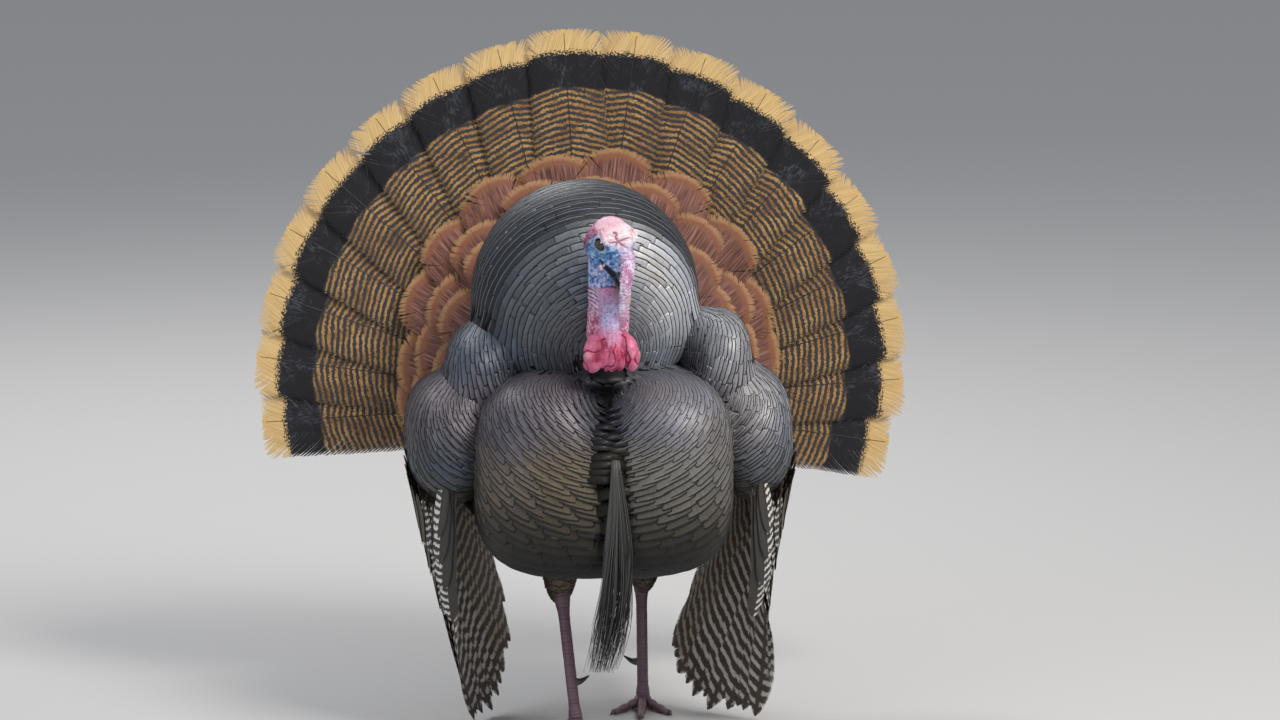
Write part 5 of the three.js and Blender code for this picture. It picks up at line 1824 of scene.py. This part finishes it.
class TURKEY_OT_head(bpy.types.Operator):
    """Build the eyes, the bill and the bristles of the nape"""

    bl_idname = "turkey.head"
    bl_label = "Eyes, bill and bristles"

    def execute(self, context):
        wet = eye_finish()
        for side in SIDES:
            finish_piece(build_eye(side, wet), "eye", "eye_" + side)
        horn = bill_finish()
        upper = on_head([34, 52, 66, 75, 79.5], [0, 0, 0, 0, 0], [-4.2, -4.8, -7.6, -12.0, -16.8])
        lower = on_head([34, 52, 66, 74], [0, 0, 0, 0], [-12.6, -13.2, -14.2, -16.4])
        finish_piece(bill_half("bill_upper", upper, 5.9, 8.2, horn), "bill", "bill_upper")
        finish_piece(bill_half("bill_lower", lower, 3.4, 7.6, horn), "bill", "bill_lower")
        dark = bristle_finish("nape_bristles", (0.01, 0.008, 0.008), (0.05, 0.03, 0.025))
        finish_piece(build_bristles(np.random.default_rng(9), dark), "body_feathers")
        return {"FINISHED"}


class TURKEY_OT_coat(bpy.types.Operator):
    """Build the small feathers of breast, mantle, shoulders, back and thighs"""

    bl_idname = "turkey.coat"
    bl_label = "Coat"

    def execute(self, context):
        finish = body_feather_finish()
        for name in COAT:
            finish_piece(build_coat(name, finish, context.scene.turkey_coat.seed), "body_feathers")
        return {"FINISHED"}


class TURKEY_OT_tail(bpy.types.Operator):
    """Build the fan of the tail and its coverts"""

    bl_idname = "turkey.tail"
    bl_label = "Tail"

    def execute(self, context):
        random = np.random.default_rng(context.scene.turkey_fan.seed)
        shaft = shaft_finish("tail_shafts", (0.035, 0.030, 0.035))
        fan = feather_group("tail_fan", rectrices(random), [tail_feather_finish(), shaft], 18)
        nodes = [f"rectrix_{k:02d}" for k in range(1, FAN_COUNT + 1)]
        finish_piece(fan, "tail_feathers", *nodes)
        rust = covert_finish()
        brown = shaft_finish("covert_shafts", (0.16, 0.07, 0.04))
        coverts = feather_group("tail_coverts", tail_coverts(random), [rust, brown], 15)
        finish_piece(coverts, "tail_coverts", "covert_row_outer", "covert_row_inner")
        finish_piece(feather_group("undertail", undertail(random), [rust, brown], 11), "tail_coverts",
                     "undertail_coverts")
        return {"FINISHED"}


class TURKEY_OT_wings(bpy.types.Operator):
    """Build the flight feathers and coverts of both wings"""

    bl_idname = "turkey.wings"
    bl_label = "Wings"

    def execute(self, context):
        random = np.random.default_rng(context.scene.turkey_fan.seed + 1)
        barred = flight_feather_finish("primaries", (0.040, 0.028, 0.022), (0.62, 0.58, 0.52), 15.0, 0.40, 6.0)
        brown = flight_feather_finish("secondaries", (0.060, 0.040, 0.028), (0.50, 0.44, 0.36), 14.0, 0.38, 8.0)
        covert = flight_feather_finish("barred_coverts", (0.026, 0.024, 0.020), (0.62, 0.60, 0.56), 9.5, 0.40, 7.0)
        plain, leading = plain_covert_finish(), alula_finish()
        shaft = shaft_finish("wing_shafts", (0.10, 0.075, 0.055))
        for side, name in ((-1, "right"), (1, "left")):
            feathers = flight_feathers(side, random)
            for group, finish in (("primaries", barred), ("secondaries", brown)):
                piece = feather_group(f"{group}_{name}", feathers[group], [finish, shaft], 10)
                finish_piece(piece, "flight_feathers", f"{group}_{name}")
            coverts = wing_coverts(side, random)
            for group, finish in (("barred", covert), ("plain", plain)):
                piece = feather_group(f"{group}_coverts_{name}", coverts[group], [finish, shaft], 19)
                finish_piece(piece, "flight_feathers")
            piece = feather_group(f"alula_{name}", alula(side, random), [leading, shaft], 4)
            finish_piece(piece, "flight_feathers", f"alula_{name}")
        return {"FINISHED"}


class TURKEY_OT_horn(bpy.types.Operator):
    """Build the claws, the spurs and the beard"""

    bl_idname = "turkey.horn"
    bl_label = "Claws, spurs and beard"

    def execute(self, context):
        claw = horn_finish("claws", (0.06, 0.05, 0.045), (0.14, 0.10, 0.09))
        spur = horn_finish("spurs", (0.035, 0.030, 0.030), (0.10, 0.08, 0.075))
        for side in SIDES:
            finish_piece(build_spikes("claws_" + side, claw_paths(side), claw), "leg_skin")
            finish_piece(build_spikes("spur_" + side, spur_path(side), spur), "spur", "spur_" + side)
        hair = bristle_finish("beard", (0.008, 0.007, 0.008), (0.120, 0.118, 0.112))
        finish_piece(build_beard(np.random.default_rng(3), hair), "beard", "beard")
        return {"FINISHED"}


class TURKEY_PT_panel(bpy.types.Panel):
    """Buttons that build the bird, in the sidebar"""

    bl_idname = "TURKEY_PT_panel"
    bl_label = "Turkey"
    bl_space_type = "VIEW_3D"
    bl_region_type = "UI"
    bl_category = "Turkey"

    def draw(self, context):
        self.layout.prop(context.scene.turkey_coat, "seed")
        self.layout.prop(context.scene.turkey_fan, "seed")
        for operator in OPERATORS:
            self.layout.operator(operator.bl_idname)


OPERATORS = (TURKEY_OT_stage, TURKEY_OT_skin, TURKEY_OT_head, TURKEY_OT_coat, TURKEY_OT_tail, TURKEY_OT_wings,
             TURKEY_OT_horn)
CLASSES = (TURKEY_PG_coat, TURKEY_PG_fan, *OPERATORS, TURKEY_PT_panel)


def register():
    for cls in CLASSES:
        bpy.utils.register_class(cls)
    bpy.types.Scene.turkey_coat = bpy.props.PointerProperty(type=TURKEY_PG_coat)
    bpy.types.Scene.turkey_fan = bpy.props.PointerProperty(type=TURKEY_PG_fan)


def unregister():
    del bpy.types.Scene.turkey_fan
    del bpy.types.Scene.turkey_coat
    for cls in reversed(CLASSES):
        bpy.utils.unregister_class(cls)


def main():
    """Register the add-on and build every piece."""
    register()
    for operator in OPERATORS:
        family, name = operator.bl_idname.split(".")
        getattr(getattr(bpy.ops, family), name)()


if __name__ == "__main__":
    main()
